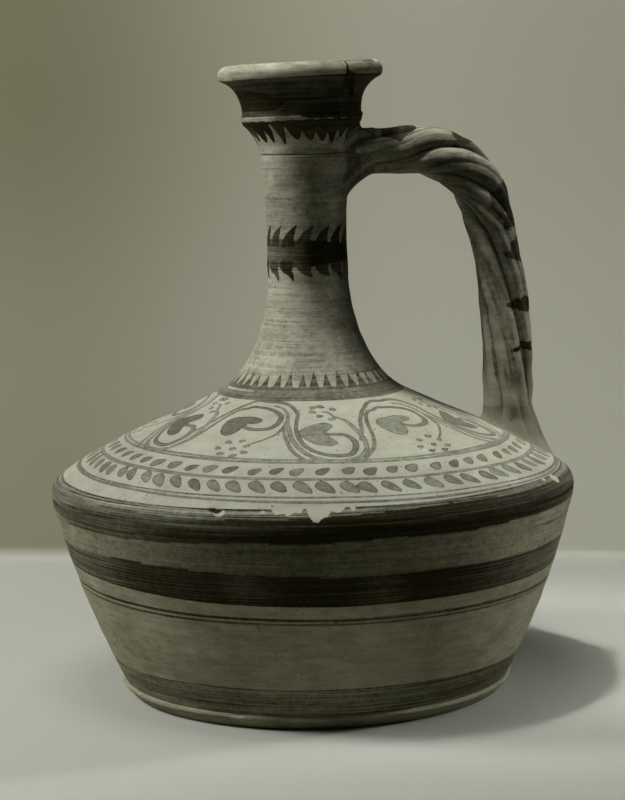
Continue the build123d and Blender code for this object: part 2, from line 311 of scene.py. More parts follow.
def pottery(name, light, dark, lines=0.5, mottle=0.4, paint=None, chipped=None, wobble=0.35):
    """Fired clay or slip between two tones, with brushwork over it and chips through to other clay."""
    material = bpy.data.materials.new(name)
    material.use_nodes = True
    tree = material.node_tree
    shader = tree.nodes["Principled BSDF"]
    shader.inputs["Specular IOR Level"].default_value = clay_sheen
    shader.inputs["Roughness"].default_value = clay_roughness

    def number(label):
        """One of the mesh's own named numbers."""
        return add(tree, "ShaderNodeAttribute", {}, attribute_name=label).outputs["Fac"]

    grain = use(tree, grain_group, {"Turning lines": lines, "Mottle": mottle})
    colour = over(tree, ramp(tree, grain.outputs["Shade"], 0.38, 0.8), dark, light)
    colour = over(tree, calc(tree, "MULTIPLY", grain.outputs["Specks"], 0.5), colour, speck_colour)
    if paint:
        marks = {label.title(): number(f"paint {label}") for label in ("edge", "load", "streaks")}
        cover = use(tree, brush_group, {**marks, "Wobble": wobble}).outputs["Cover"]
        colour = over(tree, cover, colour, paint)
        gloss = ramp(tree, cover, 0.0, 1.0, clay_roughness, paint_roughness)
        tree.links.new(gloss, shader.inputs["Roughness"])
    if chipped:
        frayed = waver(tree, on_object(tree), 1300.0, 4.0, 0.7)
        chip = calc(tree, "MULTIPLY_ADD", frayed, 1.1, number("chip edge"))
        colour = over(tree, ramp(tree, chip, -0.15, 0.25), colour, chipped)
    tree.links.new(colour, shader.inputs["Base Color"])
    relief = {"Height": grain.outputs["Height"], "Strength": 0.3, "Distance": 0.4 * mm}
    tree.links.new(add(tree, "ShaderNodeBump", relief).outputs["Normal"], shader.inputs["Normal"])
    return material


def flowing(points, steps):
    """A smooth curve through points, with so many steps between each two."""
    points = np.array(points, float)
    closed = len(points) > 3 and np.allclose(points[0], points[-1])
    before = points[-2] if closed else 2 * points[0] - points[1]
    after = points[1] if closed else 2 * points[-1] - points[-2]
    full = np.vstack([before, points, after])
    made = []
    for p0, p1, p2, p3 in zip(full[:-3], full[1:-2], full[2:-1], full[3:]):
        for t in np.arange(steps) / steps:
            bend = (2 * p0 - 5 * p1 + 4 * p2 - p3) * t * t + (3 * p1 - p0 - 3 * p2 + p3) * t ** 3
            made.append(0.5 * (2 * p1 + (p2 - p0) * t + bend))
    made.append(points[-1])
    return np.array(made)


unmarked = -4.0


def wrapped(angle):
    """An angle in degrees brought between -180 and 180."""
    return (angle + 180) % 360 - 180


def limited(edge):
    """A depth as the shader reads it, which stops at 3 mm inside or outside a mark."""
    return np.clip(edge, -3, 3)


class Canvas:
    """Hand brushwork on a turned surface, point by point: how deep inside the marks, and how thick.

    A place is (turn, height): degrees round the jug, 0 at the front and 90 at the handle, and the
    height in millimetres, or on the shoulder the distance from the axis.
    """

    def __init__(self, points, used, columns, heights=None):
        self.turns = np.arange(columns) * 360 / columns - 180
        self.heights = (points[:, 1] if heights is None else heights) / mm
        self.degree = np.maximum(points[:, 0] / mm, 0.01) * math.pi / 180
        steps = np.linalg.norm(np.roll(points, -1, axis=0) - np.roll(points, 1, axis=0), axis=1) / mm
        rises = np.abs(np.roll(self.heights, -1) - np.roll(self.heights, 1))
        self.stretch = np.clip(steps / np.maximum(rises, 0.01), 1, 12)
        self.used = used
        self.edge = np.full((len(points), columns), unmarked)
        self.load = np.zeros((len(points), columns))

    def window(self, turns, heights, reach):
        """The rows and columns within reach of some places, and the columns' turns counted from there."""
        near = (self.heights > min(heights) - reach) & (self.heights < max(heights) + reach)
        rows = np.nonzero(self.used & near)[0]
        middle = (min(turns) + max(turns)) / 2
        away = wrapped(self.turns - middle)
        wide = (max(turns) - min(turns)) / 2 + reach / self.degree[rows].min(initial=self.degree.max())
        columns = np.nonzero(np.abs(away) < wide)[0]
        return rows, columns, middle + away[columns]

    def lay(self, rows, columns, edge, load):
        """Adds a mark's own depth and thickness to what is there."""
        place = np.ix_(rows, columns)
        before, thick = self.edge[place], self.load[place]
        load = np.broadcast_to(load, edge.shape)
        both = (before > 0) & (edge > 0)
        self.load[place] = np.where(both, np.maximum(thick, load), np.where(edge > before, load, thick))
        self.edge[place] = np.maximum(before, edge)

    def offsets(self, rows, turns, turn, height):
        """How far points are from a place, in millimetres along the surface, sideways and upwards."""
        x = (turns[None] - turn) * self.degree[rows][:, None]
        y = (self.heights[rows][:, None] - height) * self.stretch[rows][:, None]
        return x, y

    def beside(self, rows, turns, start, end):
        """How far points are from a short line, and the share of the line that each is nearest to."""
        x, y = self.offsets(rows, turns, *start)
        dx = (end[0] - start[0]) * self.degree[rows][:, None]
        dy = (end[1] - start[1]) * self.stretch[rows][:, None]
        share = np.clip((x * dx + y * dy) / np.maximum(dx * dx + dy * dy, 1e-9), 0, 1)
        return np.hypot(x - dx * share, y - dy * share), share

    def line(self, points, widths, loads=(1.0,)):
        """A brush line through places. Widths in millimetres and loads are spread evenly along it."""
        path = flowing(points, 4)
        shares = np.linspace(0, 1, len(path))
        width = np.interp(shares, np.linspace(0, 1, len(widths)), widths)
        load = np.interp(shares, np.linspace(0, 1, len(loads)), loads)
        for index in range(len(path) - 1):
            start, end = path[index], path[index + 1]
            rows, columns, turns = self.window((start[0], end[0]), (start[1], end[1]), reach=3.2)
            away, share = self.beside(rows, turns, start, end)
            half = (width[index] + (width[index + 1] - width[index]) * share) / 2
            self.lay(rows, columns, half - away, load[index] + (load[index + 1] - load[index]) * share)

    def shape(self, points, smooth):
        """The rows and columns round a closed shape, and how deep inside it each point is."""
        points = [*points, points[0]]
        path = flowing(points, smooth) if smooth else np.array(points, float)
        rows, columns, turns = self.window(path[:, 0], path[:, 1], reach=2.5)
        near = np.full((len(rows), len(columns)), 9.0)
        within = np.zeros(near.shape, bool)
        height = self.heights[rows][:, None]
        for start, end in zip(path[:-1], path[1:]):
            near = np.minimum(near, self.beside(rows, turns, start, end)[0])
            if start[1] != end[1]:
                crossing = start[0] + (height - start[1]) / (end[1] - start[1]) * (end[0] - start[0])
                within ^= ((height > start[1]) != (height > end[1])) & (turns[None] < crossing)
        return rows, columns, np.where(within, near, -near)

    def fill(self, points, load=1.0, smooth=4):
        """A filled shape within a closed line of places."""
        rows, columns, edge = self.shape(points, smooth)
        self.lay(rows, columns, edge, load)

    def spare(self, points, smooth=4):
        """A closed shape that the paint leaves free, or that has come off since."""
        rows, columns, edge = self.shape(points, smooth)
        place = np.ix_(rows, columns)
        self.edge[place] = np.minimum(self.edge[place], -edge)

    def drop(self, turn, height, long, wide, lean=0.0, load=1.0):
        """One touch of the brush: a drop of a length and width, leaning clockwise from level."""
        angle = math.radians(lean)
        rows, columns, turns = self.window((turn, turn), (height, height), reach=long)
        x, y = self.offsets(rows, turns, turn, height)
        along = x * math.cos(angle) - y * math.sin(angle)
        aside = x * math.sin(angle) + y * math.cos(angle)
        share = np.clip(along / long + 0.5, 0, 1)
        half = wide / 2 * np.sqrt(np.clip(1 - (2 * share - 1) ** 2, 0, 1)) * (1.35 - 0.75 * share)
        edge = np.minimum(half - np.abs(aside), long / 2 - np.abs(along))
        self.lay(rows, columns, edge, load)

    def band(self, low, high, load=1.0):
        """A band right round. Its limits and its load are numbers or (turn, number) pairs."""
        low, high, load = (self.round(value) for value in (low, high, load))
        height = self.heights[:, None]
        edge = np.minimum(height - low[None], high[None] - height) * self.stretch[:, None]
        edge[~self.used] = unmarked
        self.lay(np.arange(len(edge)), np.arange(len(self.turns)), edge, load[None])

    def round(self, value):
        """A number, or (turn, number) pairs that join up behind, for every column."""
        if isinstance(value, (int, float)):
            return np.full(len(self.turns), float(value))
        turns, numbers = np.array(sorted(value), float).T
        return np.interp(self.turns, turns, numbers, period=360)

    def sunk(self, rim, slope):
        """How far in the marks are sunk, at a slope, over a rim that is so many millimetres wide."""
        return np.clip(self.edge, 0, rim) * slope * mm

    def values(self, streaks):
        """What the shader reads: the depth in millimetres, the thickness and how streaky it is."""
        streaky = np.broadcast_to(streaks, self.edge.shape)
        return {"paint edge": limited(self.edge), "paint load": self.load, "paint streaks": streaky}


def rows_between(points, start, end):
    """Which points of an outline lie between two of its corners."""
    first, last = (int(np.argmin(np.hypot(*(points - corner).T))) for corner in (start, end))
    index = np.arange(len(points))
    return (index >= first) & (index <= last)


foot_outline = worn(outline(
    (run((standing_radius - ring_width + inside_slope, 0), (standing_radius - heel_round, 0)), 1 * mm),
    (run((standing_radius - heel_round, 0), (standing_radius, heel_round)), 0.3 * mm),
    (run((standing_radius, heel_round), (edge_radius, foot_height - edge_thickness)), 0.35 * mm),
    (arc(
        (edge_radius, foot_height - edge_thickness),
        (edge_radius - edge_crown, foot_height - edge_thickness / 2),
        (belly_foot_radius, foot_height),
    ), 0.3 * mm),
    (run((belly_foot_radius, foot_height), (standing_radius - ring_width, foot_height)), 2 * mm),
    (run(
        (standing_radius - ring_width, foot_height), (standing_radius - ring_width + inside_slope, 0)
    ), 1 * mm),
))
places, normals = spin(foot_outline, wide_columns)
lift = thrown(places) * np.clip(places[..., 2] / mm - 0.3, 0, 1)
foot_places = places + normals * lift[..., None]
foot_side = rows_between(foot_outline, (standing_radius, heel_round), (belly_foot_radius, foot_height))
chips = Canvas(foot_outline, foot_side, wide_columns)
for chip in (
    [(-31.5, 5.8), (-31.2, 4.4), (-29.8, 3.6), (-28.4, 3.9), (-27.2, 5.0), (-27.4, 5.8)],
    [(22, 5.8), (22.4, 4.9), (23.2, 4.8), (23.8, 5.8)],
    [(-70.5, 5.8), (-69.8, 4.6), (-68.6, 4.8), (-68, 5.8)],
):
    chips.fill(chip, smooth=0)
foot_places = foot_places - normals * chips.sunk(0.6, 0.9)[..., None]
foot_clay = pottery("bare_foot_clay", bare_light, bare_dark, chipped=pale_clay)
foot_values = {"chip edge": limited(chips.edge)}
skin("turned_foot_ring", foot_places, foot_clay, "foot_ring", foot_values)

# Belly
# A thrown bowl of bare clay that swells up to the keel. While it turned on the wheel, dark bands and
# thin lines were brushed round it. Thin dark paint under the keel on the front is painted shade. Small
# pits are left where grit fell out of the clay.

keel_height = 77.5 * mm
keel_radius = 99.9 * mm
waist_height = 39.0 * mm
waist_radius = 88.9 * mm
brow_round = 19.0 * mm
brow_turn = math.radians(16)
belly_wall = 5.0 * mm
floor_height = foot_height + 5.6 * mm
floor_corner = 9.0 * mm
axis_gap = 0.02 * mm
inside_smoothness = 0.3
# How streaky the painted shade under the keel is.
under_keel_shade_streaks = 0.25
band_streaks = 0.9


def brow(inset, start, end):
    """The round just under the keel, moved inwards by an inset, between two angles from level."""
    angles = np.linspace(start, end, 16)
    radius = brow_round - inset
    return np.stack([
        keel_radius - brow_round + radius * np.cos(angles), keel_height + radius * np.sin(angles),
    ], 1)


brow_out = brow(0, -brow_turn, 0)
brow_in = brow(belly_wall, 0, -brow_turn)
inner_foot = (belly_foot_radius - belly_wall - 0.5 * mm, floor_height + floor_corner)
floor_edge = (inner_foot[0] - floor_corner, floor_height)
belly_outline = outline(
    (run((axis_gap, foot_height), (belly_foot_radius, foot_height)), hidden_spacing),
    (arc(
        (belly_foot_radius, foot_height), (waist_radius, waist_height), tuple(brow_out[0]), steps=200
    ), skin_spacing),
    (brow_out, skin_spacing),
    (run((keel_radius, keel_height), (keel_radius - belly_wall, keel_height)), 2 * mm),
    (brow_in, hidden_spacing),
    (arc(tuple(brow_in[-1]), (waist_radius - belly_wall, waist_height), inner_foot), hidden_spacing),
    (arc(
        inner_foot, (inner_foot[0] - floor_corner * 0.25, floor_height + floor_corner * 0.3), floor_edge
    ), 2.5 * mm),
    (run(floor_edge, (axis_gap, floor_height), (axis_gap, foot_height)), hidden_spacing),
)
places, normals = spin(belly_outline, wide_columns)
belly_skin = rows_between(belly_outline, (belly_foot_radius, foot_height), (keel_radius, keel_height))
belly_paint = Canvas(belly_outline, belly_skin, wide_columns)
# From above: painted shade under the keel on the front, the keel's own band, the broad band, two fine lines
# and the band at the foot.
belly_paint.band(60.0, 90.0, [
    (-90, 0), (-65, 0.1), (-49, 0.36), (-36, 0.56), (-22, 0.68), (-6, 0.68), (8, 0.6), (23, 0.45), (36, 0.2),
    (46, 0), (180, 0),
])
under_keel_shade = belly_paint.load.copy()
belly_paint.band(
    [(-80, 73.0), (-70, 71.4), (-49, 71.0), (-36, 71.7), (-22, 73.0), (-6, 72.6), (8, 73.6), (23, 73.0),
     (45, 74.5), (180, 74.5)], 90.0,
    [(-90, 0.62), (-70, 0.68), (-49, 0.8), (-36, 0.94), (0, 1.0), (50, 0.96), (80, 0.74), (180, 0.88)],
)
belly_paint.band(
    [(-75, 53.0), (-30, 49.9), (0, 48.8), (25, 49.1), (60, 49.5), (120, 50.5), (180, 52.0)],
    [(-75, 62.5), (-60, 62.6), (-49, 62.8), (-36, 62.3), (-22, 61.2), (0, 60.0), (60, 59.8), (120, 60.5),
     (180, 62)],
    [(-90, 0.6), (-75, 0.64), (-60, 0.76), (-49, 0.94), (-28, 0.98), (-22, 0.88), (-12, 1.0), (0, 1.0),
     (9, 0.85), (16, 1.0), (30, 0.95), (45, 0.75), (63, 0.56), (80, 0.56), (150, 0.85)],
)
belly_paint.band(
    [(-75, 45.9), (-40, 44.4), (0, 43.2), (60, 43.0), (180, 44.5)],
    [(-75, 47.0), (-40, 45.5), (0, 44.3), (60, 44.3), (180, 45.6)],
    [(-75, 0.8), (0, 0.8), (40, 0.5), (180, 0.7)],
)
belly_paint.band(
    [(-75, 43.9), (-40, 42.6), (0, 41.7), (60, 41.6), (180, 42.8)],
    [(-75, 44.8), (-40, 43.5), (0, 42.6), (60, 42.3), (180, 43.6)],
    [(-75, 0.75), (0, 0.75), (40, 0.3), (180, 0.6)],
)
belly_paint.band(
    5.6, [(-80, 15.5), (-40, 16.5), (0, 16.5), (60, 16.0), (180, 15.5)],
    [(-80, 0.3), (-50, 0.4), (-30, 0.5), (-10, 0.36), (5, 0.42), (20, 0.56), (55, 0.66), (80, 0.56),
     (180, 0.6)],
)

pits = Canvas(belly_outline, belly_skin, wide_columns)
# Each large pit's turn and height, its length and width, and how it leans.
large_pits = [
    (-64, 37, 3.6, 1.7, 38), (-55, 40.5, 1.8, 1.2, 10), (-32, 38, 1.6, 1.1, 20), (36, 44.5, 1.5, 1.2, 0),
    (-9, 49, 1.4, 1.0, 30), (-31.5, 8.4, 4.0, 0.9, 65), (118, 33, 1.8, 1.3, 20), (-140, 25, 2.2, 1.2, 50),
]
for pit in large_pits:
    pits.drop(*pit)
draws = np.random.default_rng(12)
small_pit_count = 70
for _ in range(small_pit_count):
    pits.drop(
        draws.uniform(-180, 180), draws.uniform(7, 74), draws.uniform(0.9, 1.5), draws.uniform(0.7, 1.0),
        draws.uniform(-60, 60),
    )

lift = thrown(places) - pits.sunk(0.5, 0.9)
lift[~belly_skin] *= inside_smoothness
belly_places = places + normals * lift[..., None]
belly_clay = pottery("banded_belly_clay", bare_light, bare_dark, lines=0.4, paint=paint_colour)
# Where only the painted shade under the keel lies, the paint is less streaky.
only_under_keel_shade = (under_keel_shade > 0) & (belly_paint.load == under_keel_shade)
belly_values = belly_paint.values(streaks=np.where(only_under_keel_shade, under_keel_shade_streaks, band_streaks))
skin("thrown_belly", belly_places, belly_clay, "belly", belly_values)

# Shoulder
# A wide sloping ring that rounds over the keel, covered with pale slip from there to the neck. A
# scroll of heart-shaped ivy leaves, two rows of small leaves and rings are brushed on it freehand.
# The keel's dark band runs up onto it, and there the edge is knocked and chipped.

collar_height = 113.9 * mm
collar_radius = 36.0 * mm
collar_seat = 5.5 * mm
shoulder_slope = math.radians(27)
shoulder_wall = 4.8 * mm
keel_round = 6.5 * mm
keel_turn = math.radians(52)
slope_run_shares = (0.20, 0.58)
slope_rise_shares = (0.255, 0.62)


def drawn(t, start, end, start_way, end_way):
    """A place from start to end, as t goes from 0 to 1, on a curve that leaves and arrives in given ways."""
    return (
        start * (2 * t ** 3 - 3 * t ** 2 + 1) + end * (3 * t ** 2 - 2 * t ** 3)
        + start_way * (t ** 3 - 2 * t ** 2 + t) + end_way * (t ** 3 - t ** 2)
    )


def spline(points, start, end):
    """The evenly bending curve through points, with given directions at its two ends."""
    points = np.array(points, float)
    gaps = np.linalg.norm(np.diff(points, axis=0), axis=1)
    count = len(points)
    system, answer = np.zeros((count, count)), np.zeros((count, 2))
    system[0, 0] = system[-1, -1] = 1
    answer[0] = np.array(start) / np.linalg.norm(start)
    answer[-1] = np.array(end) / np.linalg.norm(end)
    for i in range(1, count - 1):
        before, after = gaps[i - 1], gaps[i]
        system[i, i - 1: i + 2] = after, 2 * (before + after), before
        rise, climb = points[i] - points[i - 1], points[i + 1] - points[i]
        answer[i] = 3 * (after / before * rise + before / after * climb)
    slopes = np.linalg.solve(system, answer)
    t = np.linspace(0, 1, 120)[:, None]
    made = [
        drawn(t, points[i], points[i + 1], slopes[i] * gap, slopes[i + 1] * gap) for i, gap in enumerate(gaps)
    ]
    return np.concatenate([made[0], *(part[1:] for part in made[1:])])


def shoulder_curve(inset):
    """The shoulder from the keel to the collar, moved inwards by an inset."""
    angles = np.linspace(0, keel_turn, 30)
    keel = np.stack([
        keel_radius - keel_round + (keel_round - inset) * np.cos(angles),
        keel_height + (keel_round - inset) * np.sin(angles),
    ], 1)
    low = np.array([
        keel_radius - keel_round * (1 - math.cos(keel_turn)), keel_height + keel_round * math.sin(keel_turn),
    ])
    high = np.array([collar_radius, collar_height])
    shift = -inset * np.array([math.sin(shoulder_slope), math.cos(shoulder_slope)])
    middle = [low + (high - low) * share for share in zip(slope_run_shares, slope_rise_shares)]
    slope = spline(
        [keel[-1], *(point + shift for point in middle), high + shift],
        (-math.sin(keel_turn), math.cos(keel_turn)),
        (-math.cos(shoulder_slope), math.sin(shoulder_slope)),
    )
    return keel, slope


keel_out, slope_out = shoulder_curve(0)
keel_in, slope_in = shoulder_curve(shoulder_wall)
seat_inside = (collar_radius - collar_seat, collar_height)
shoulder_outline = outline(
    (run((keel_radius - shoulder_wall, keel_height), (keel_radius, keel_height)), 2.4 * mm),
    (keel_out, skin_spacing),
    (slope_out, skin_spacing),
    (run((collar_radius, collar_height), seat_inside, tuple(slope_in[-1])), 3 * mm),
    (slope_in[::-1], 9 * mm),
    (keel_in[::-1], 1 * mm),
)


def height_of_slope(radius):
    """How high the shoulder's outside is at a radius."""
    return np.interp(radius, slope_out[::-1, 0], slope_out[::-1, 1])


places, normals = spin(shoulder_outline, wide_columns)
shoulder_skin = rows_between(shoulder_outline, (keel_radius, keel_height), (collar_radius, collar_height))
on_slope = shoulder_skin & (shoulder_outline[:, 0] < keel_radius - 0.3 * mm)
ornament = Canvas(shoulder_outline, on_slope, wide_columns, shoulder_outline[:, 0])
on_keel = shoulder_skin & (shoulder_outline[:, 1] < keel_height + 10 * mm)
keel_band = Canvas(shoulder_outline, on_keel, wide_columns)
keel_band.band(
    60.0, [(-90, 84.2), (-50, 84.0), (-30, 84.0), (0, 84.4), (62, 84.6), (180, 84.4)],
    [(-90, 0.56), (-50, 0.55), (-30, 0.55), (-5, 0.62), (30, 0.66), (62, 0.66), (150, 0.6)],
)
keel_band.band(
    60.0,
    [(-90, 81.8), (-60, 81.3), (-49, 81.6), (-36, 80.7), (-22, 80.9), (-6, 81.6), (8, 82.6), (23, 83.4),
     (45, 82.7), (62, 83.0), (110, 83.0), (180, 81.5)],
    [(-90, 0.64), (-70, 0.7), (-49, 0.82), (-30, 0.92), (0, 1.0), (50, 0.96), (80, 0.76), (180, 0.88)],
)

# The scroll's marks: turns from the middle of a unit, and distances from the axis in millimetres.
long_line = [
    (-53.5, 59.9), (-52.5, 56.9), (-51, 53.3), (-50, 49.8), (-49, 47.3), (-47, 44.2), (-45, 41.9),
    (-43, 40.4), (-41, 38.9), (-39, 37.5), (-35, 36.5), (-30, 36.8), (-26, 36.7), (-22, 36.8), (-20, 37.1),
    (-18, 37.6), (-16, 38.4), (-14, 39.9), (-12.5, 41.3), (-11.2, 42.8), (-10.7, 44.7), (-10.8, 47.7),
    (-10.7, 49.7), (-10.5, 52.7), (-9.8, 55.7), (-9, 58.2), (-8, 60.6), (-7, 62.6), (-5.5, 64.6),
    (-3.5, 66.5), (-1, 68), (2, 68.8), (5, 68.8), (7, 68.1), (8.5, 66.1), (9.5, 63.5), (9.8, 61), (9.3, 59),
    (8.3, 57.4), (7, 56.4), (5, 56.1), (3, 56.3), (1, 55.9), (-1, 55.5),
]
short_line = [
    (-55.7, 72), (-54.5, 69.9), (-53, 67.9), (-51.5, 65.8), (-50.2, 63.3), (-49.2, 60.3), (-48.4, 56.7),
    (-47.8, 53.2), (-47.2, 50.2), (-46.4, 47.7), (-45.2, 45.2), (-44, 43.8), (-42, 42.4), (-39, 41.8),
    (-36, 40.6), (-33, 40.8), (-30, 40.9), (-27, 41.3), (-24, 42.1), (-22, 42.8), (-20, 44), (-18.5, 45.8),
    (-18.5, 48.5), (-19.5, 51), (-21.5, 53), (-24.5, 54), (-28, 54.3), (-30.5, 53.8), (-32.2, 52.9),
    (-33.5, 51.3),
]
middle_line = [
    (-24, 38.9), (-20, 40), (-18, 41), (-16, 43), (-15, 45), (-14.6, 47), (-14.3, 49), (-13.8, 50.9),
    (-13, 53.3), (-12.2, 55.8), (-11.3, 58.7), (-10, 61.7), (-8.5, 64.6), (-6.5, 67.5), (-5, 69), (-3, 70.4),
    (0, 72),
]
left_line = [
    (-16, 49), (-15.5, 52.9), (-14.5, 56.9), (-13, 60.8), (-11.5, 64.8), (-9.5, 68.2), (-7.5, 70.6),
    (-6, 72.6),
]
lower_tendril = [
    (-15.5, 50), (-16, 52), (-17, 54.5), (-18, 56.5), (-20, 58.3), (-22, 60.2), (-24, 61.8), (-26, 63.3),
]
outer_ring = [
    (1, 41.9), (3.5, 42.3), (4.7, 43.7), (6, 45.1), (7.5, 45.8), (9.5, 47), (10.7, 49), (11.5, 51),
    (12.2, 53.9), (12.8, 56.9), (13.2, 58.9), (13, 61.9), (12.5, 64.9), (11, 67.5), (9.5, 69.5), (7, 71),
    (4, 72),
]
lower_dots = [
    (-28.5, 61.2), (-33.2, 62.6), (-26, 64), (-30, 66), (-35.3, 66.4), (-25.6, 67.6), (-33, 69.3),
    (-28.5, 69.7),
]
upper_dots = [(-3.5, 39.4), (0.5, 38.8), (6.5, 40.4), (-3.8, 42.1), (-0.5, 44.6), (4.5, 46.5)]
up_leaf = [
    (-43.4, 50), (-41, 47.6), (-37, 46.8), (-31, 46.2), (-26, 47.8), (-27.5, 50.2), (-32.6, 51.4),
    (-33.2, 55.5), (-36, 58.8), (-39.8, 58), (-42.6, 54),
]
down_leaf = [
    (-9.5, 54.6), (-5, 50.5), (1, 48.6), (4, 50.6), (2, 53.5), (0.3, 55.4), (4.2, 61), (1.3, 63.3), (-5, 61),
]
# Each unit's turn, its stretch to the left and to the right, and the loads of its two leaves.
scroll_units = [
    (-126.0, 0.90, 0.90, 0.5, 0.55), (-66.0, 0.93, 1.0, 0.55, 0.72), (-2.0, 1.0, 1.0, 0.68, 0.5),
    (65.0, 1.02, 0.6, 0.44, 0.66), (121.3, 0.87, 0.87, 0.5, 0.5), (177.7, 0.87, 0.87, 0.55, 0.6),
]
# Each line of the scroll, with its widths in millimetres and its loads spread along it.
scroll_lines = [
    (left_line, (0.9, 1.6, 1.6), (0.3, 0.42, 0.38)),
    (middle_line, (1.0, 1.8, 1.9), (0.3, 0.42, 0.4)),
    (outer_ring, (1.0, 1.8, 2.0, 1.8), (0.35, 0.4, 0.4)),
    (long_line, (1.5, 1.6, 1.6, 1.5, 1.9, 2.5, 1.7), (0.42, 0.6, 0.58, 0.55, 0.6, 0.52)),
    (short_line, (1.5, 1.5, 1.5, 1.6, 2.4, 1.7), (0.42, 0.52, 0.58, 0.62, 0.64, 0.5)),
    (lower_tendril, (1.3, 1.2, 0.9), (0.5, 0.42)),
]
# Each ring's distance from the axis, its width and its load.
rings = [(71.5, 1.2, 0.38), (73.0, 1.2, 0.42), (81.9, 1.7, 0.42), (90.5, 0.9, 0.46), (92.0, 1.1, 0.4)]
# Each row of leaves: how many, the first one's turn and how far they sway from it, their distance from the
# axis and how far they stray from it, their length and width with the least and the most share of each,
# how they lean, and the least and the most load.
leaf_rows = [
    (59, -71, 0.7, 77.5, 0.4, ((6.2, 0.85, 1.1), (4.1, 0.85, 1.15)), 35, (0.48, 0.68)),
    (68, -62, 0.6, 86, 0.3, ((8.6, 0.9, 1.1), (4.4, 0.88, 1.12)), -44, (0.48, 0.66)),
]
shift_reach = 2.1
shift_turn = 70.0
dot_long = 3.2
dot_wide = 2.2


def painted_at(turn, radius):
    """A place of the shoulder's painting, whose rings stand a little off the jug's own centre."""
    return turn, radius + shift_reach * math.cos(math.radians(turn - shift_turn))


def freehand(points, middle, left, right, draws, sway=0.35):
    """A mark of the scroll at its own turn round the jug, with the small slips of a free hand."""
    slip = draws.uniform(-sway, sway, 4)
    made = []
    for u, radius in points:
        sideways = slip[0] * math.sin(u / 9 + slip[1] * 9)
        turn = middle + u * (left if u < 0 else right) + sideways
        made.append(painted_at(turn, radius + slip[2] * math.sin(u / 7 + slip[3] * 9)))
    return made


def spread_round(count, first, sway, draws):
    """So many turns spaced evenly round the jug from a first one, each a little off its place."""
    for index in range(count):
        yield first + index * 360 / count + draws.uniform(-sway, sway)


draws = np.random.default_rng(21)
for middle, left, right, up_load, down_load in scroll_units:
    unit = (middle, left, right, draws)
    for marks, widths, loads in scroll_lines:
        ornament.line(freehand(marks, *unit), widths, loads)
    for turn, radius in freehand(lower_dots, *unit) + freehand(upper_dots, *unit):
        long = dot_long * draws.uniform(0.85, 1.15)
        ornament.drop(turn, radius, long, dot_wide, draws.uniform(-25, 25), draws.uniform(0.4, 0.62))
    ornament.fill(freehand(up_leaf, *unit, sway=0.2), up_load)
    ornament.fill(freehand(down_leaf, *unit, sway=0.2), down_load)

around = np.arange(-180, 181, 5)
ring_sway = 0.3
for radius, width, load in rings:
    start = draws.uniform(0, 6)
    sways = [ring_sway * math.sin(math.radians(turn) * 2 + start) for turn in around]
    ring = [painted_at(turn, radius + sway) for turn, sway in zip(around, sways)]
    ornament.line(ring, width * draws.uniform(0.8, 1.2, 12), load * draws.uniform(0.75, 1.2, 16))
for count, first, sway, radius, stray, sizes, lean, loads in leaf_rows:
    for turn in spread_round(count, first, sway, draws):
        place = painted_at(turn, radius + draws.uniform(-stray, stray))
        long, wide = (usual * draws.uniform(least, most) for usual, least, most in sizes)
        ornament.drop(*place, long, wide, lean, draws.uniform(*loads))
ornament.band(0.0, [(-180, 33.5), (-75, 33.5), (0, 34.2), (60, 35.2), (120, 35.0), (179, 33.5)], 0.56)

ornament.edge = np.maximum(ornament.edge, keel_band.edge)
ornament.load = np.where(keel_band.edge > -0.5, keel_band.load, ornament.load)
chips = Canvas(shoulder_outline, on_keel, wide_columns)
keel_chips = [
    [(-15.4, 84.4), (-14.2, 82.6), (-12.6, 83.2), (-11.6, 82.0), (-10.4, 83.5), (-9.2, 82.7), (-8.2, 85),
     (-12, 85.4)],
    [(-8.2, 85), (-7.4, 82.0), (-6.6, 80.3), (-5.6, 79.9), (-4.8, 81.4), (-3.6, 82.0), (-2.8, 83.6),
     (-1.4, 82.8), (0.3, 84.4), (-2, 85.6)],
    [(-17.8, 83.4), (-17.0, 82.7), (-16.2, 83.3), (-17.0, 84.0)],
    [(0.9, 84.3), (1.6, 83.0), (2.4, 84.0), (1.6, 84.8)],
    [(60, 83.4), (61, 81.8), (62.5, 82.4), (63.5, 83.4), (62, 84.8), (60.5, 84.6)],
    [(55, 84.3), (56, 83.6), (57.2, 84.2), (56, 84.9)],
    [(131, 84.2), (132.5, 82.2), (134, 83.2), (135.2, 84.6), (133, 85)],
    [(-149, 83.8), (-147, 82.0), (-145.6, 83.6), (-147, 84.8)],
    [(-28.0, 83.4), (-27.0, 82.0), (-25.4, 81.6), (-24.8, 83.0), (-25.6, 84.2)],
]
knock = [(-29, 84.1), (-27.6, 83.0), (-26.4, 82.6), (-25.4, 83.9), (-26.6, 83.8), (-27.6, 84.4)]
for chip in keel_chips:
    chips.fill(chip, smooth=0)
chips.spare(knock, smooth=0)
knocked = Canvas(shoulder_outline, on_keel, wide_columns)
knocked.fill(knock, smooth=0)
lift = thrown(places) - chips.sunk(0.5, 0.5) - knocked.sunk(0.6, 1.8)
shoulder_places = places + normals * lift[..., None]
ornament.load = np.where(knocked.edge > -0.3, 1.0, ornament.load)
ornament.edge = np.maximum(ornament.edge, knocked.edge)
slip_light = tone(162, 163, 146)
slip_dark = tone(132, 132, 114)
slip = pottery(
    "painted_slip", slip_light, slip_dark, lines=0.2, mottle=0.3, paint=paint_colour, chipped=pale_clay,
    wobble=0.3,
)
shoulder_values = ornament.values(streaks=np.where(keel_band.edge > -0.5, 1.0, 0.12))
shoulder_values["chip edge"] = limited(chips.edge)
skin("slipped_shoulder", shoulder_places, slip, "shoulder", shoulder_values)
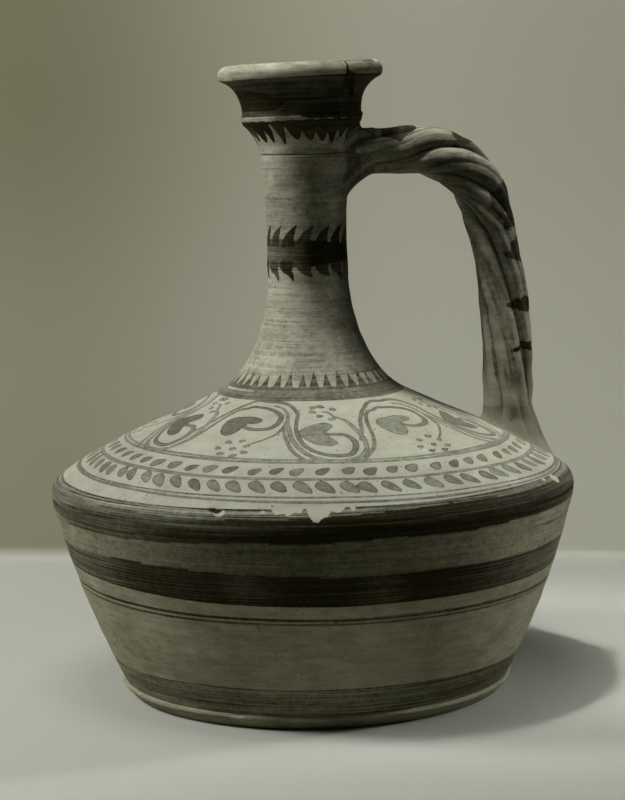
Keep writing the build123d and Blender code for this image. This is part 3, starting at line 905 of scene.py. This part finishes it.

# Neck
# A slender clay tube thrown by itself and luted into the shoulder, which it meets in a wide flare. It is
# covered by a thin wash, and thin dark paint on its right side and just under the mouth is painted shade.
# A wreath of leaves goes round its middle, and a ring of pointed teeth round its foot.

groove_height = 203.8 * mm
groove_width = 1.4 * mm
groove_depth = 0.5 * mm
stem_foot_radius = 15.4 * mm
stem_least_radius = 15.1 * mm
neck_top_radius = 16.7 * mm
bore_radius = 10.5 * mm
stem_foot_height = 160.02 * mm
stem_least_height = 176.02 * mm
flare_collar_pull = 13.0 * mm
flare_stem_pull = 22.0 * mm
narrow_columns = 400
narrow_spacing = 0.5 * mm


def bezier(a, b, c, d):
    """The curve from a to d that leaves towards b and arrives from c."""
    a, b, c, d = (np.array(point, float) for point in (a, b, c, d))
    t = np.linspace(0, 1, 80)[:, None]
    return a * (1 - t) ** 3 + 3 * b * t * (1 - t) ** 2 + 3 * c * t * t * (1 - t) + d * t ** 3


def neck_flare(collar, stem):
    """The curve of the neck's foot, from a radius at the collar to a radius at the stem."""
    return bezier(
        (collar, collar_height),
        (collar - flare_collar_pull * math.cos(shoulder_slope),
         collar_height + flare_collar_pull * math.sin(shoulder_slope)),
        (stem, stem_foot_height - flare_stem_pull),
        (stem, stem_foot_height),
    )


flare_out = neck_flare(collar_radius, stem_foot_radius)
stem_top = (neck_top_radius, groove_height - groove_width / 2)
seat_radius = neck_top_radius - groove_depth
stem_out = spline(
    [(stem_foot_radius, stem_foot_height), (stem_least_radius, stem_least_height), stem_top],
    (0, 1), (neck_top_radius - stem_least_radius, groove_height - stem_least_height),
)
neck_outline = outline(
    (run(seat_inside, (collar_radius, collar_height)), 3 * mm),
    (flare_out, narrow_spacing),
    (stem_out, narrow_spacing),
    (run(stem_top, (seat_radius, groove_height)), 0.3 * mm),
    (run((seat_radius, groove_height), (bore_radius, groove_height)), 2 * mm),
    (run((bore_radius, groove_height), (bore_radius, stem_foot_height)), hidden_spacing),
    (neck_flare(collar_radius - collar_seat, bore_radius)[::-1], hidden_spacing),
)
places, normals = spin(neck_outline, narrow_columns)
neck_skin = rows_between(neck_outline, (collar_radius, collar_height), stem_top)
neck_paint = Canvas(neck_outline, neck_skin, narrow_columns)

draws = np.random.default_rng(33)
# Painted shade: thin dark paint on the right side of the neck's lower part, and on its front and right just
# under the mouth.
low_neck_shade = [(-180, 0), (8, 0), (26, 0.2), (40, 0.46), (60, 0.6), (100, 0.5), (150, 0.15), (180, 0)]
high_neck_shade = [(-180, 0), (-30, 0), (-14, 0.2), (0, 0.34), (24, 0.22), (50, 0.05), (70, 0), (180, 0)]
neck_paint.band(122.0, 162.0, low_neck_shade)
neck_paint.band(172.0, 203.0, high_neck_shade)
# The painted shade's loads, kept apart from the paint laid on after.
soft_layer = neck_paint.load.copy()
neck_paint.band(100.0, 118.3, 0.6)
neck_paint.spare([(-84, 116.2), (-56, 116.3), (-47, 116.7), (-57, 117.0), (-84, 116.9)], smooth=2)
for turn in spread_round(38, -70, 0.8, draws):
    half, tip = draws.uniform(3.4, 4.1), draws.uniform(122.6, 124.6)
    tooth = [(turn - half, 117.5), (turn + 0.3, tip), (turn + half, 117.5)]
    neck_paint.fill(tooth, draws.uniform(0.55, 0.75), smooth=0)

neck_paint.band(
    [(-80, 161.4), (0, 162.0), (52, 163.5), (180, 162.0)],
    [(-80, 172.6), (0, 171.8), (46, 170.4), (180, 171.5)],
    [(-80, 0.62), (-30, 0.8), (0, 1.0), (90, 1.0), (180, 0.85)],
)
for turn in spread_round(15, -47, 1.2, draws):
    tip = draws.uniform(177.2, 178.8)
    leaf = [
        (turn - 22, 169.5), (turn - 20.5, 171.4), (turn - 16.5, 173.6), (turn - 10, 175.4),
        (turn - 3.5, tip - 0.9), (turn + 2, tip), (turn + 0.5, 176), (turn - 1, 174.4), (turn - 2.5, 172.6),
        (turn - 3, 169.5),
    ]
    neck_paint.fill(leaf, draws.uniform(0.85, 1.0), smooth=3)
for turn in spread_round(14, -56, 1.2, draws):
    tip = draws.uniform(156, 158.5)
    leaf = [
        (turn - 18, 164), (turn - 18.5, 161.6), (turn - 14, 159.8), (turn - 6, 158.8), (turn + 3, tip),
        (turn + 3.5, 158.6), (turn + 1.5, 160.4), (turn + 2, 162.0), (turn + 3.5, 164),
    ]
    neck_paint.fill(leaf, draws.uniform(0.8, 1.0), smooth=3)

neck_places = places + normals * thrown(places)[..., None]
wash_light = tone(168, 167, 149)
wash_dark = tone(92, 89, 68)
wash = pottery("wiped_neck_wash", wash_light, wash_dark, lines=0.35, mottle=0.34, paint=paint_colour)
# Where only the painted shade lies, the paint is less streaky.
only_neck_shade = (soft_layer > 0) & (neck_paint.load == soft_layer)
neck_values = neck_paint.values(streaks=np.where(only_neck_shade, 0.2, 0.5))
skin("thrown_neck", neck_places, wash, "neck", neck_values)

# Mouth
# The clay mouth was thrown apart and set on the neck at the groove, a little off centre and leaning. A
# flare with a fringe of dark tongues runs up to a sharp ridge, and above a dark hollow moulding the
# rounded lip turns out. The lip is left pale, and a crack runs down from it at the right.

mouth_offset = 0.8 * mm
mouth_tilt = math.radians(1.4)
throat_height = 3.0 * mm
ridge_low = (22.5 * mm, 11.5 * mm)
ridge_high = (23.3 * mm, 14.2 * mm)
cavetto_foot = (22.6 * mm, 15.2 * mm)
lip_low = (30.5 * mm, 28.1 * mm)
lip_face = (31.2 * mm, 30.9 * mm)
lip_top = (29.2 * mm, 33.6 * mm)
lip_crown = (26.8 * mm, 34.0 * mm)
lip_inside = (24.4 * mm, 32.6 * mm)
bowl_middle = (18.2 * mm, 18.0 * mm)
flare_foot_share = 0.48
flare_swell_share = 0.44
flare_ridge_share = 0.78
cavetto_foot_share = 0.37
cavetto_lip_share = 0.82

mouth_start = (neck_top_radius, groove_width / 2)
mouth_outline = worn(outline(
    (run((seat_radius, 0), mouth_start), 0.3 * mm),
    (bezier(
        mouth_start, (neck_top_radius, ridge_low[1] * flare_foot_share),
        (neck_top_radius + (ridge_low[0] - neck_top_radius) * flare_swell_share,
         ridge_low[1] * flare_ridge_share),
        ridge_low,
    ), 0.4 * mm),
    (run(ridge_low, ridge_high), 0.35 * mm),
    (run(ridge_high, cavetto_foot), 0.3 * mm),
    (bezier(
        cavetto_foot,
        (cavetto_foot[0], cavetto_foot[1] + (lip_low[1] - cavetto_foot[1]) * cavetto_foot_share),
        (cavetto_foot[0] + (lip_low[0] - cavetto_foot[0]) * (1 - cavetto_lip_share),
         cavetto_foot[1] + (lip_low[1] - cavetto_foot[1]) * cavetto_lip_share),
        lip_low,
    ), 0.4 * mm),
    (arc(lip_low, lip_face, lip_top), 0.35 * mm),
    (arc(lip_top, lip_crown, lip_inside), 0.4 * mm),
    (spline(
        [lip_inside, bowl_middle, (bore_radius, throat_height)],
        (bowl_middle[0] - lip_inside[0], bowl_middle[1] - lip_inside[1]), (0, -1),
    ), 1.2 * mm),
    (run((bore_radius, throat_height), (bore_radius, 0)), 1.5 * mm),
    (run((bore_radius, 0), (seat_radius, 0)), 2 * mm),
))


def set_on_neck(places):
    """The mouth's own places moved off centre and leaned over, with its seat kept level."""
    x, y, z = np.moveaxis(places, -1, 0)
    free = np.clip(z / throat_height, 0, 1)
    return np.stack([
        x * math.cos(mouth_tilt) - z * math.sin(mouth_tilt) - mouth_offset,
        y,
        x * math.sin(mouth_tilt) * free + z * math.cos(mouth_tilt) + groove_height,
    ], -1)


places, normals = spin(mouth_outline, narrow_columns)
mouth_skin = rows_between(mouth_outline, (seat_radius, 0), lip_inside)
mouth_heights = mouth_outline[:, 1] + groove_height
mouth_paint = Canvas(mouth_outline, mouth_skin, narrow_columns, mouth_heights)

draws = np.random.default_rng(44)
mouth_paint.band(
    [(-180, 218.4), (-71, 218.4), (-8, 218.4), (0, 217.0), (60, 216.6), (120, 217), (179, 218.4)],
    [(-80, 231.8), (20, 232.6), (180, 232.0)], [(-80, 0.7), (-40, 0.84), (-20, 0.9), (30, 0.9), (180, 0.8)],
)
mouth_paint.fill([
    (-88, 228.5), (-60, 228.4), (-40, 227), (-30, 224.6), (10, 224.8), (30, 224.6), (30, 223.8), (-20, 223.6),
    (-30, 220.5), (-88, 220.5),
], smooth=0)
mouth_paint.band(
    [(-90, 219.0), (-8, 219.0), (0, 217.4), (90, 217.2), (179, 219.0)], 222.4,
    [(-90, 0.8), (-40, 0.76), (-10, 0.86), (20, 0.95), (180, 0.9)],
)
crack = [
    (27.5, 237.6), (28.5, 235.6), (28, 234), (29.5, 232.6), (33, 231.6), (38, 229.6), (43, 227.6),
    (47, 225.4),
]
mouth_paint.line(crack, (0.7, 0.9, 1.2, 2.4, 3.6, 3.4, 3.0))
crack_stain = [(26, 232.6), (30, 233.4), (34, 232.2), (41, 230.4), (44, 227), (36, 227.4), (30, 229)]
mouth_paint.fill(crack_stain, smooth=0)
lip_line = [(4, 237.7), (20, 237.4), (40, 237.5), (62, 237.3)]
mouth_paint.line(lip_line, (0.5, 1.1, 0.7, 1.3), (0.3, 0.6, 0.45))
mouth_paint.band(
    [(-180, 215.3), (-22, 215.3), (-15, 212.8), (3, 212.4), (9, 214.6), (16, 212.4), (40, 212.8), (60, 214.6),
     (180, 215.3)], 216.5, 0.95,
)
for turn in spread_round(24, -46, 1.0, draws):
    half = draws.uniform(5.4, 6.2) if turn < -20 else draws.uniform(7.4, 9.4)
    tip = draws.uniform(207.4, 209.4)
    tongue = [
        (turn - half, 216.3), (turn - half * 0.9, 213.6), (turn - half * 0.3, 210.6),
        (turn + half * 0.35, tip), (turn + half * 0.75, tip + 0.7), (turn + half * 0.95, 211.8),
        (turn + half, 216.3),
    ]
    mouth_paint.fill(tongue, draws.uniform(0.85, 1.0), smooth=3)
split = Canvas(mouth_outline, mouth_skin, narrow_columns, mouth_heights)
split.line(crack, (0.6, 0.7, 1.1, 1.8, 1.6, 0.8))
lift = thrown(places + np.array([0, 0, groove_height])) - split.sunk(0.5, 1.2)
mouth_places = set_on_neck(places + normals * lift[..., None])
mouth_clay = pottery("painted_mouth_wash", wash_light, wash_dark, lines=0.4, mottle=0.6, paint=paint_colour)
mouth_values = mouth_paint.values(streaks=0.6)
skin("flared_mouth", mouth_places, mouth_clay, "mouth", mouth_values)

# Handle rolls
# Four rolls of clay twisted together like a rope, each with a shallow groove down its back. They run
# level from the neck, turn down in a bend and end upright on the shoulder. Dark strokes touch the outer
# side, and dark streaks run along the rolls. Thin dark paint in the creases, and over the front and
# underside of the bend, is painted shade.

handle_start = (neck_top_radius + 6.3 * mm, groove_height + 0.4 * mm)
handle_run = 18.07 * mm
bend_radius = 28.7 * mm
bend_turn = math.radians(75)
leg_radius = 235.0 * mm
leg_turn = math.radians(15)
foot_face_height = 102.59 * mm
roll_count = 4
valley_radius = 7.0 * mm
crest_radius = 9.45 * mm
crest_angle = math.radians(25)
back_groove_radius = 8.9 * mm
roll_slip = 0.05 * mm
neck_end_share = 0.91
bend_share = 1.05
twist_start = 41.0
twist_pitches = (220 * mm, 100 * mm, 283 * mm)
twist_neck_length = 15 * mm
twist_bend_length = 50 * mm
roll_spacing = 0.6 * mm
roll_overlap = 5 * mm

bend_length = bend_radius * bend_turn
leg_length = leg_radius * leg_turn
bend_end = (
    handle_start[0] + handle_run + bend_radius * math.sin(bend_turn),
    handle_start[1] - bend_radius * (1 - math.cos(bend_turn)),
)
leg_end_height = bend_end[1] - leg_radius * math.cos(bend_turn)
handle_length = handle_run + bend_length + leg_length + leg_end_height - foot_face_height


def handle_line(distance):
    """Places and directions, as (reach, height) pairs, at distances along the handle."""
    on_bend = np.clip(distance - handle_run, 0, bend_length) / bend_radius
    on_leg = np.clip(distance - handle_run - bend_length, 0, leg_length) / leg_radius
    on_foot = np.clip(distance - handle_run - bend_length - leg_length, 0, None)
    reach = handle_start[0] + np.minimum(distance, handle_run) + bend_radius * np.sin(on_bend)
    reach = reach + leg_radius * (np.sin(bend_turn + on_leg) - math.sin(bend_turn))
    height = handle_start[1] - bend_radius * (1 - np.cos(on_bend))
    height = height - leg_radius * (math.cos(bend_turn) - np.cos(bend_turn + on_leg)) - on_foot
    turn = on_bend + on_leg
    return np.stack([reach, height], -1), np.stack([np.cos(turn), -np.sin(turn)], -1)


def twist_at(distance):
    """How far the bundle of rolls has turned at a distance along the handle, in degrees."""
    on_neck = np.minimum(distance, twist_neck_length)
    on_bend = np.clip(distance - twist_neck_length, 0, twist_bend_length)
    on_leg = np.clip(distance - twist_neck_length - twist_bend_length, 0, None)
    stretches = zip((on_neck, on_bend, on_leg), twist_pitches)
    return twist_start + 360 * sum(part / pitch for part, pitch in stretches)


def swell_at(distance):
    """How thick the bundle is at a distance along the handle, as a share of the rolls' own size."""
    bend_middle = handle_run + bend_length / 2
    places = (0, bend_middle, bend_middle + bend_length)
    return np.interp(distance, places, (neck_end_share, bend_share, 1.0))


def stations(distances):
    """Along the handle: the middle, the section's two directions and the way on, each (count, 3)."""
    place, way = handle_line(distances)
    level = np.zeros(len(place))
    centre = np.stack([place[:, 0], level, place[:, 1]], 1)
    along = np.stack([way[:, 0], level, way[:, 1]], 1)
    front = np.tile((0.0, -1.0, 0.0), (len(place), 1))
    return centre, front, np.cross(front, along), along


crest_low = (crest_radius * math.cos(crest_angle), crest_radius * math.sin(crest_angle))
groove_middle = (back_groove_radius * math.sqrt(0.5), back_groove_radius * math.sqrt(0.5))
half_back = arc((valley_radius, roll_slip), crest_low, groove_middle)
full_back = np.concatenate([half_back[:-1], half_back[::-1, ::-1]])
section = np.concatenate([spaced(full_back, 0.35 * mm), run((roll_slip, roll_slip))])

roll_light = tone(178, 177, 156)
roll_dark = tone(108, 105, 83)
roll_clay = pottery("twisted_roll_clay", roll_light, roll_dark, lines=0.05, mottle=0.2, paint=paint_colour)
lump_size, lump_depth = 13 * mm, 0.18
press_size, press_depth = 30 * mm, 0.16
ragged_size, ragged_depth = 6 * mm, 0.9
# Painted shade: how far the thin dark paint reaches into the creases, and how thick it lies there and over
# the front and underside of the bend.
crease_shade_share = 0.34
bare_foot, foot_fade = 16, 10
dab_load = 0.92
crease_shade_load = 0.34
bend_shade_load = 0.66
roll_streaks = 0.2
# Where the painted shade over the bend lies and how far it reaches: millimetres along the handle, and degrees
# round it.
bend_shade_place = (42, 2)
bend_shade_reach = (66, 96)
# Each dark stroke's middle along the handle and its half length, in millimetres, and its half width in
# degrees round the bundle.
dabs = [
    (11.5, 7.4, 60), (32.5, 3.6, 50), (55.5, 5.6, 84), (63.0, 3.0, 68), (74.5, 4.4, 76), (94.5, 2.8, 74),
    (111.0, 2.0, 78),
]
distances = np.arange(-roll_overlap, handle_length + roll_overlap, roll_spacing)
centre, front, outward, along = stations(distances)
reach = np.hypot(*section[:-1].T)
back = np.concatenate([(reach - reach.min()) / (reach.max() - reach.min()), [0]])
section_middle = section.mean(0)
side, rise = section[None, :, 0], section[None, :, 1]
for number in range(roll_count):
    twist = np.radians(twist_at(distances) + 360 * number / roll_count)[:, None]
    first = front * np.cos(twist) + outward * np.sin(twist)
    second = outward * np.cos(twist) - front * np.sin(twist)
    size = swell_at(distances)[:, None, None]
    across = first[:, None] * section[None, :, :1] + second[:, None] * section[None, :, 1:]
    places = centre[:, None] + across * size
    uneven = ripple(*np.moveaxis(places, -1, 0), lump_size, 60 + number) * lump_depth
    pressed = ripple(distances[:, None], side * 5, rise * 5, press_size, 70 + number)
    lift = (uneven + pressed * press_depth) * np.clip(back * 3, 0, 1)
    grown = 1 + lift * mm / np.maximum(np.hypot(*section.T), 1 * mm)[None]
    places = centre[:, None] + across * size * grown[..., None]
    turned_out, turned_front = ((across * way[:, None]).sum(-1) for way in (outward, front))
    angles = np.degrees(np.arctan2(turned_out, turned_front))
    edge = np.full(angles.shape, unmarked)
    for middle, half_length, half_angle in dabs:
        ahead_of = (distances[:, None] - middle * mm) / mm / half_length
        aside_of = wrapped(angles - 90) / half_angle
        edge = np.maximum(edge, (1 - np.hypot(ahead_of, aside_of)) * half_length)
    edge += ripple(*np.moveaxis(places, -1, 0), ragged_size, 77) * ragged_depth
    # Painted shade: thin dark paint in the creases between the rolls, where shade falls.
    crease_shade = (crease_shade_share - back[None] + uneven * 0.3) * 0.4
    dragged = ripple(distances[:, None] * 0.1, side, rise, 2.6 * mm, 90 + number)
    # The dark streaks along the rolls, together with the painted shade in the creases.
    wash = np.maximum(crease_shade, (dragged - 0.5) * 0.4)
    wash -= np.clip(distances[:, None] / mm - handle_length / mm + bare_foot, 0, foot_fade) * 0.06
    own = across - (first * section_middle[0] + second * section_middle[1])[:, None]
    up = own[..., 2] / np.linalg.norm(own, axis=-1)
    # Painted shade over the front and underside of the bend, kept off faces that turn upwards, which stay
    # light.
    ahead_of = (distances[:, None] / mm - bend_shade_place[0]) / bend_shade_reach[0]
    aside_of = wrapped(angles - bend_shade_place[1]) / bend_shade_reach[1]
    bend_shade = np.clip(1.5 - 1.5 * np.hypot(ahead_of, aside_of), 0, 1)
    bend_shade = bend_shade * np.clip(1.15 - 1.4 * up, 0, 1) * bend_shade_load
    thin = np.where(wash > 0, crease_shade_load + bend_shade * 0.7, bend_shade)
    roll_values = {
        "paint edge": limited(np.maximum(edge, np.where(bend_shade > 0, 0.6, wash))),
        "paint load": np.where(edge > -0.2, dab_load, thin),
        "paint streaks": np.full(edge.shape, roll_streaks),
    }
    name, node = f"twisted_roll_{number + 1}", f"handle_roll_{number + 1}"
    skin(name, places, roll_clay, node, roll_values, closed=False)

# Pads
# Clay pressed round each end of the handle, smoothed over the rolls and down onto the pot. The upper
# pad holds it to the neck and the mouth, and thin dark paint on it is painted shade. The lower one
# spreads over the slope of the shoulder, with slip smeared over it.

pad_steps = 180
pad_lap = 3 * mm
pad_sink = 0.3 * mm
pad_stand_off = 0.15 * mm
pad_lump_size, pad_lump_depth = 9 * mm, 0.2
web_pull = 10
neck_spread = 9
slope_spread = 7
# How thick the thin dark paint on the neck pad is, painted as shade.
neck_pad_shade = 0.56
smeared_light = tone(138, 137, 118)
smeared_dark = tone(120, 118, 99)


def bundle_ring(distance, margin):
    """The ring round the bundle of rolls at a distance along the handle, standing off by a margin."""
    centre, front, outward, along = stations(np.array([distance]))
    angles = np.linspace(0, 2 * math.pi, pad_steps, endpoint=False)
    in_roll = np.degrees(angles - math.radians(float(twist_at(distance)))) % 90
    back_angles = np.degrees(np.arctan2(full_back[:, 1], full_back[:, 0]))
    reach = np.interp(in_roll, back_angles, np.hypot(*full_back.T)) * swell_at(distance) + margin
    reach = reach[:, None]
    ring = centre + front * np.cos(angles)[:, None] * reach + outward * np.sin(angles)[:, None] * reach
    return ring, along[0], angles


def pad(name, near, far, near_way, far_way, shade_load, clay, node):
    """A web of clay from a ring round the rolls to a ring on the pot, drawn out along both."""
    t = np.linspace(0, 1, 48)[:, None, None]
    grid = drawn(t, near[None], far[None], near_way[None], far_way[None])
    lift = ripple(*np.moveaxis(grid, -1, 0), pad_lump_size, 81) * pad_lump_depth * mm
    grid = grid + (grid - grid.mean(axis=1, keepdims=True)) * (lift / (10 * mm))[..., None]
    # Thin dark paint over the pad where it is asked for, as painted shade.
    pad_values = {
        "paint edge": lift / mm + (0.1 if shade_load else -2), "paint load": np.full(lift.shape, shade_load),
        "paint streaks": np.zeros(lift.shape),
    }
    skin(name, grid[:, ::-1], clay, node, pad_values, closed=False)


def body_radius(height):
    """The outer radius of the neck and the mouth at a height, on the handle's side."""
    neck = np.concatenate([flare_out, stem_out])
    mouth = mouth_outline[mouth_skin] + np.array([0, groove_height])
    on_mouth = np.interp(height, mouth[:, 1], mouth[:, 0]) - mouth_offset
    return np.where(height < groove_height, np.interp(height, neck[:, 1], neck[:, 0]), on_mouth)


ring, way, angles = bundle_ring(pad_lap, pad_stand_off)
half_width, half_height, root_height = 10.5 * mm, 14.4 * mm, 200.6 * mm
y = -half_width * np.cos(angles)
z = root_height + half_height * np.sin(angles)
x = np.sqrt(body_radius(z) ** 2 - y ** 2) - pad_sink
root = np.stack([x, y, z], 1)
spread = np.stack([-0.85 * np.abs(np.cos(angles)), -np.cos(angles), np.sin(angles)], 1) * neck_spread * mm
pad("luted_neck_pad", ring, root, -way[None] * web_pull * mm, spread, neck_pad_shade, roll_clay, "neck_pad")

ring, way, angles = bundle_ring(handle_length - pad_lap, pad_stand_off)
half_width, half_length, root_reach = 12.5 * mm, 16.0 * mm, 79.5 * mm
x = root_reach + half_length * np.sin(angles)
y = -half_width * np.cos(angles)
z = height_of_slope(np.hypot(x, y)) - pad_sink
root = np.stack([x, y, z], 1)
spread = np.stack([np.sin(angles), -np.cos(angles), -0.5 * np.sin(angles)], 1) * slope_spread * mm
smeared = pottery(
    "slip_smeared_clay", smeared_light, smeared_dark, lines=0.05, mottle=0.06, paint=paint_colour,
)
pad("luted_shoulder_pad", ring, root, way[None] * web_pull * mm, spread, 0.0, smeared, "shoulder_pad")

# Setting
# The jug stands on a sheet of pale board that folds up into an olive-grey wall, clear from behind. A soft
# lamp on the left lights it, one above fills, and two gridded ones pick out the handle and the keel's
# right end. The camera looks down from a little left of the front, through a long lens.

board_colour = tone(172, 174, 162)
# The light that the sheet throws back onto the jug finds it darker than the camera sees it.
board_bounce = tone(156, 156, 144)
wall_bounce = tone(90, 88, 74)
# Tones of the wall, painted lighter and darker as light and shade fall on it.
wall_high = tone(196, 195, 174)
wall_low = tone(214, 214, 197)
wall_shade = tone(129, 126, 99)
wall_foot_shade = tone(159, 155, 132)
room_colour = tone(150, 150, 134)
room_glow = 0.06
wall_foot = 235 * mm
wall_turn = math.radians(8.6)
sweep_round = 7 * mm
board_below = 0.5 * mm
wall_above = 6 * mm
low_tone_below = 80 * mm
high_tone_above = 240 * mm
dim_side = -110 * mm
bright_side = 100 * mm
board_reach = 4.0
board_front = 4.0
wall_height = 1.5

camera_azimuth = math.radians(6.5)
camera_pitch = math.radians(7.25)
camera_roll = math.radians(-1.3)
camera_place = (-96.7 * mm, -848.6 * mm, 217.7 * mm)
camera_lens = 101.0
sensor_height = 36
frame_height = 800
frame_shift = (1.5, 2.0)

level = Vector((math.cos(camera_azimuth), -math.sin(camera_azimuth), 0))
ahead = Vector((math.sin(camera_azimuth), math.cos(camera_azimuth), 0))
look = ahead * math.cos(camera_pitch) + Vector((0, 0, -math.sin(camera_pitch)))
up = ahead * math.sin(camera_pitch) + Vector((0, 0, math.cos(camera_pitch)))
right = level * math.cos(camera_roll) + up * math.sin(camera_roll)
upwards = up * math.cos(camera_roll) - level * math.sin(camera_roll)


def sweep(name, material):
    """One sheet: a flat board in front, a round and an upright wall behind, across the view."""
    side = level * math.cos(wall_turn) - ahead * math.sin(wall_turn)
    inward = ahead * math.cos(wall_turn) + level * math.sin(wall_turn)
    angles = np.linspace(0, math.pi / 2, 24)
    bend = np.stack([
        wall_foot * math.cos(wall_turn) - sweep_round + sweep_round * np.sin(angles),
        sweep_round - sweep_round * np.cos(angles),
    ], 1)
    points = []
    wall_top = [wall_foot * math.cos(wall_turn), wall_height]
    for back, height in np.vstack([[[-board_front, 0]], bend, [wall_top]]):
        middle = inward * back + Vector((0, 0, height))
        points += [middle - side * board_reach, middle + side * board_reach]
    mesh = bpy.data.meshes.new(name)
    faces = [(i, i + 1, i + 3, i + 2) for i in range(0, len(points) - 2, 2)]
    mesh.from_pydata(points, [], faces)
    mesh.shade_smooth()
    mesh.materials.append(material)
    made = bpy.data.objects.new(name, mesh)
    bpy.context.scene.collection.objects.link(made)


def lamp(name, place, aim, size, power, spread=180):
    """A square softbox at a place, turned to its aim, whose grid keeps its light within a spread."""
    data = bpy.data.lights.new(name, "AREA")
    data.shape = "SQUARE"
    data.size = size
    data.energy = power
    data.spread = math.radians(spread)
    made = bpy.data.objects.new(name, data)
    made.location = place
    made.rotation_euler = (Vector(aim) - Vector(place)).to_track_quat("-Z", "Y").to_euler()
    bpy.context.scene.collection.objects.link(made)


board = bpy.data.materials.new("pale_board")
board.use_nodes = True
tree = board.node_tree
tree.nodes["Principled BSDF"].inputs["Roughness"].default_value = 0.9
place = add(tree, "ShaderNodeSeparateXYZ", {"Vector": on_object(tree)}).outputs
# The wall's colour is painted light and shade: darker towards the left and higher up, lighter towards the
# right and near its foot.
across_wall = ramp(tree, place["X"], dim_side, bright_side)
high = over(tree, across_wall, wall_shade, wall_high)
low = over(tree, across_wall, wall_foot_shade, wall_low)
wall = over(tree, ramp(tree, place["Z"], high_tone_above, low_tone_below), high, low)
off_board = ramp(tree, place["Z"], board_below, wall_above)
shown_colour = over(tree, off_board, board_colour, wall)
bounce_colour = over(tree, off_board, board_bounce, wall_bounce)
seen = add(tree, "ShaderNodeLightPath", {}).outputs["Is Camera Ray"]
sheet_colour = over(tree, seen, bounce_colour, shown_colour)
tree.links.new(sheet_colour, tree.nodes["Principled BSDF"].inputs["Base Color"])
from_behind = add(tree, "ShaderNodeNewGeometry", {}).outputs["Backfacing"]
clear = add(tree, "ShaderNodeBsdfTransparent", {}).outputs[0]
solid = tree.nodes["Principled BSDF"].outputs[0]
shown = add(tree, "ShaderNodeMixShader", {0: from_behind, 1: solid, 2: clear}).outputs[0]
tree.links.new(shown, tree.nodes["Material Output"].inputs["Surface"])
sweep("board_and_wall", board)

lamp("key_lamp", place=(-1.04, 0.05, 0.95), aim=(0, 0, 0.1), size=0.36, power=17.4)
lamp("top_lamp", place=(-0.1, -0.2, 1.6), aim=(0, 0, 0.1), size=0.6, power=6.6)
lamp("handle_lamp", place=(-0.25, -0.15, 1.4), aim=(0.08, 0, 0.16), size=0.15, power=0.12, spread=13)
lamp("right_lamp", place=(0.6, 0.05, 0.36), aim=(0.085, 0, 0.07), size=0.22, power=0.09, spread=16)

world = bpy.data.worlds.new("room")
world.use_nodes = True
tree = world.node_tree
tree.nodes["Background"].inputs["Color"].default_value = room_colour
seen = add(tree, "ShaderNodeLightPath", {}).outputs["Is Camera Ray"]
strength = calc(tree, "MULTIPLY_ADD", seen, 1 - room_glow, room_glow)
tree.links.new(strength, tree.nodes["Background"].inputs["Strength"])
bpy.context.scene.world = world

camera = bpy.data.cameras.new("camera")
camera.sensor_fit = "VERTICAL"
camera.sensor_height = sensor_height
camera.lens = camera_lens
camera.shift_x = frame_shift[0] / frame_height
camera.shift_y = frame_shift[1] / frame_height
camera.clip_start = 0.05
camera.clip_end = 20
eye = bpy.data.objects.new("camera", camera)
facing = Matrix((right, upwards, -look)).transposed().to_4x4()
eye.matrix_world = Matrix.Translation(Vector(camera_place)) @ facing
bpy.context.scene.collection.objects.link(eye)
bpy.context.scene.camera = eye
bpy.context.scene.view_settings.view_transform = "Standard"
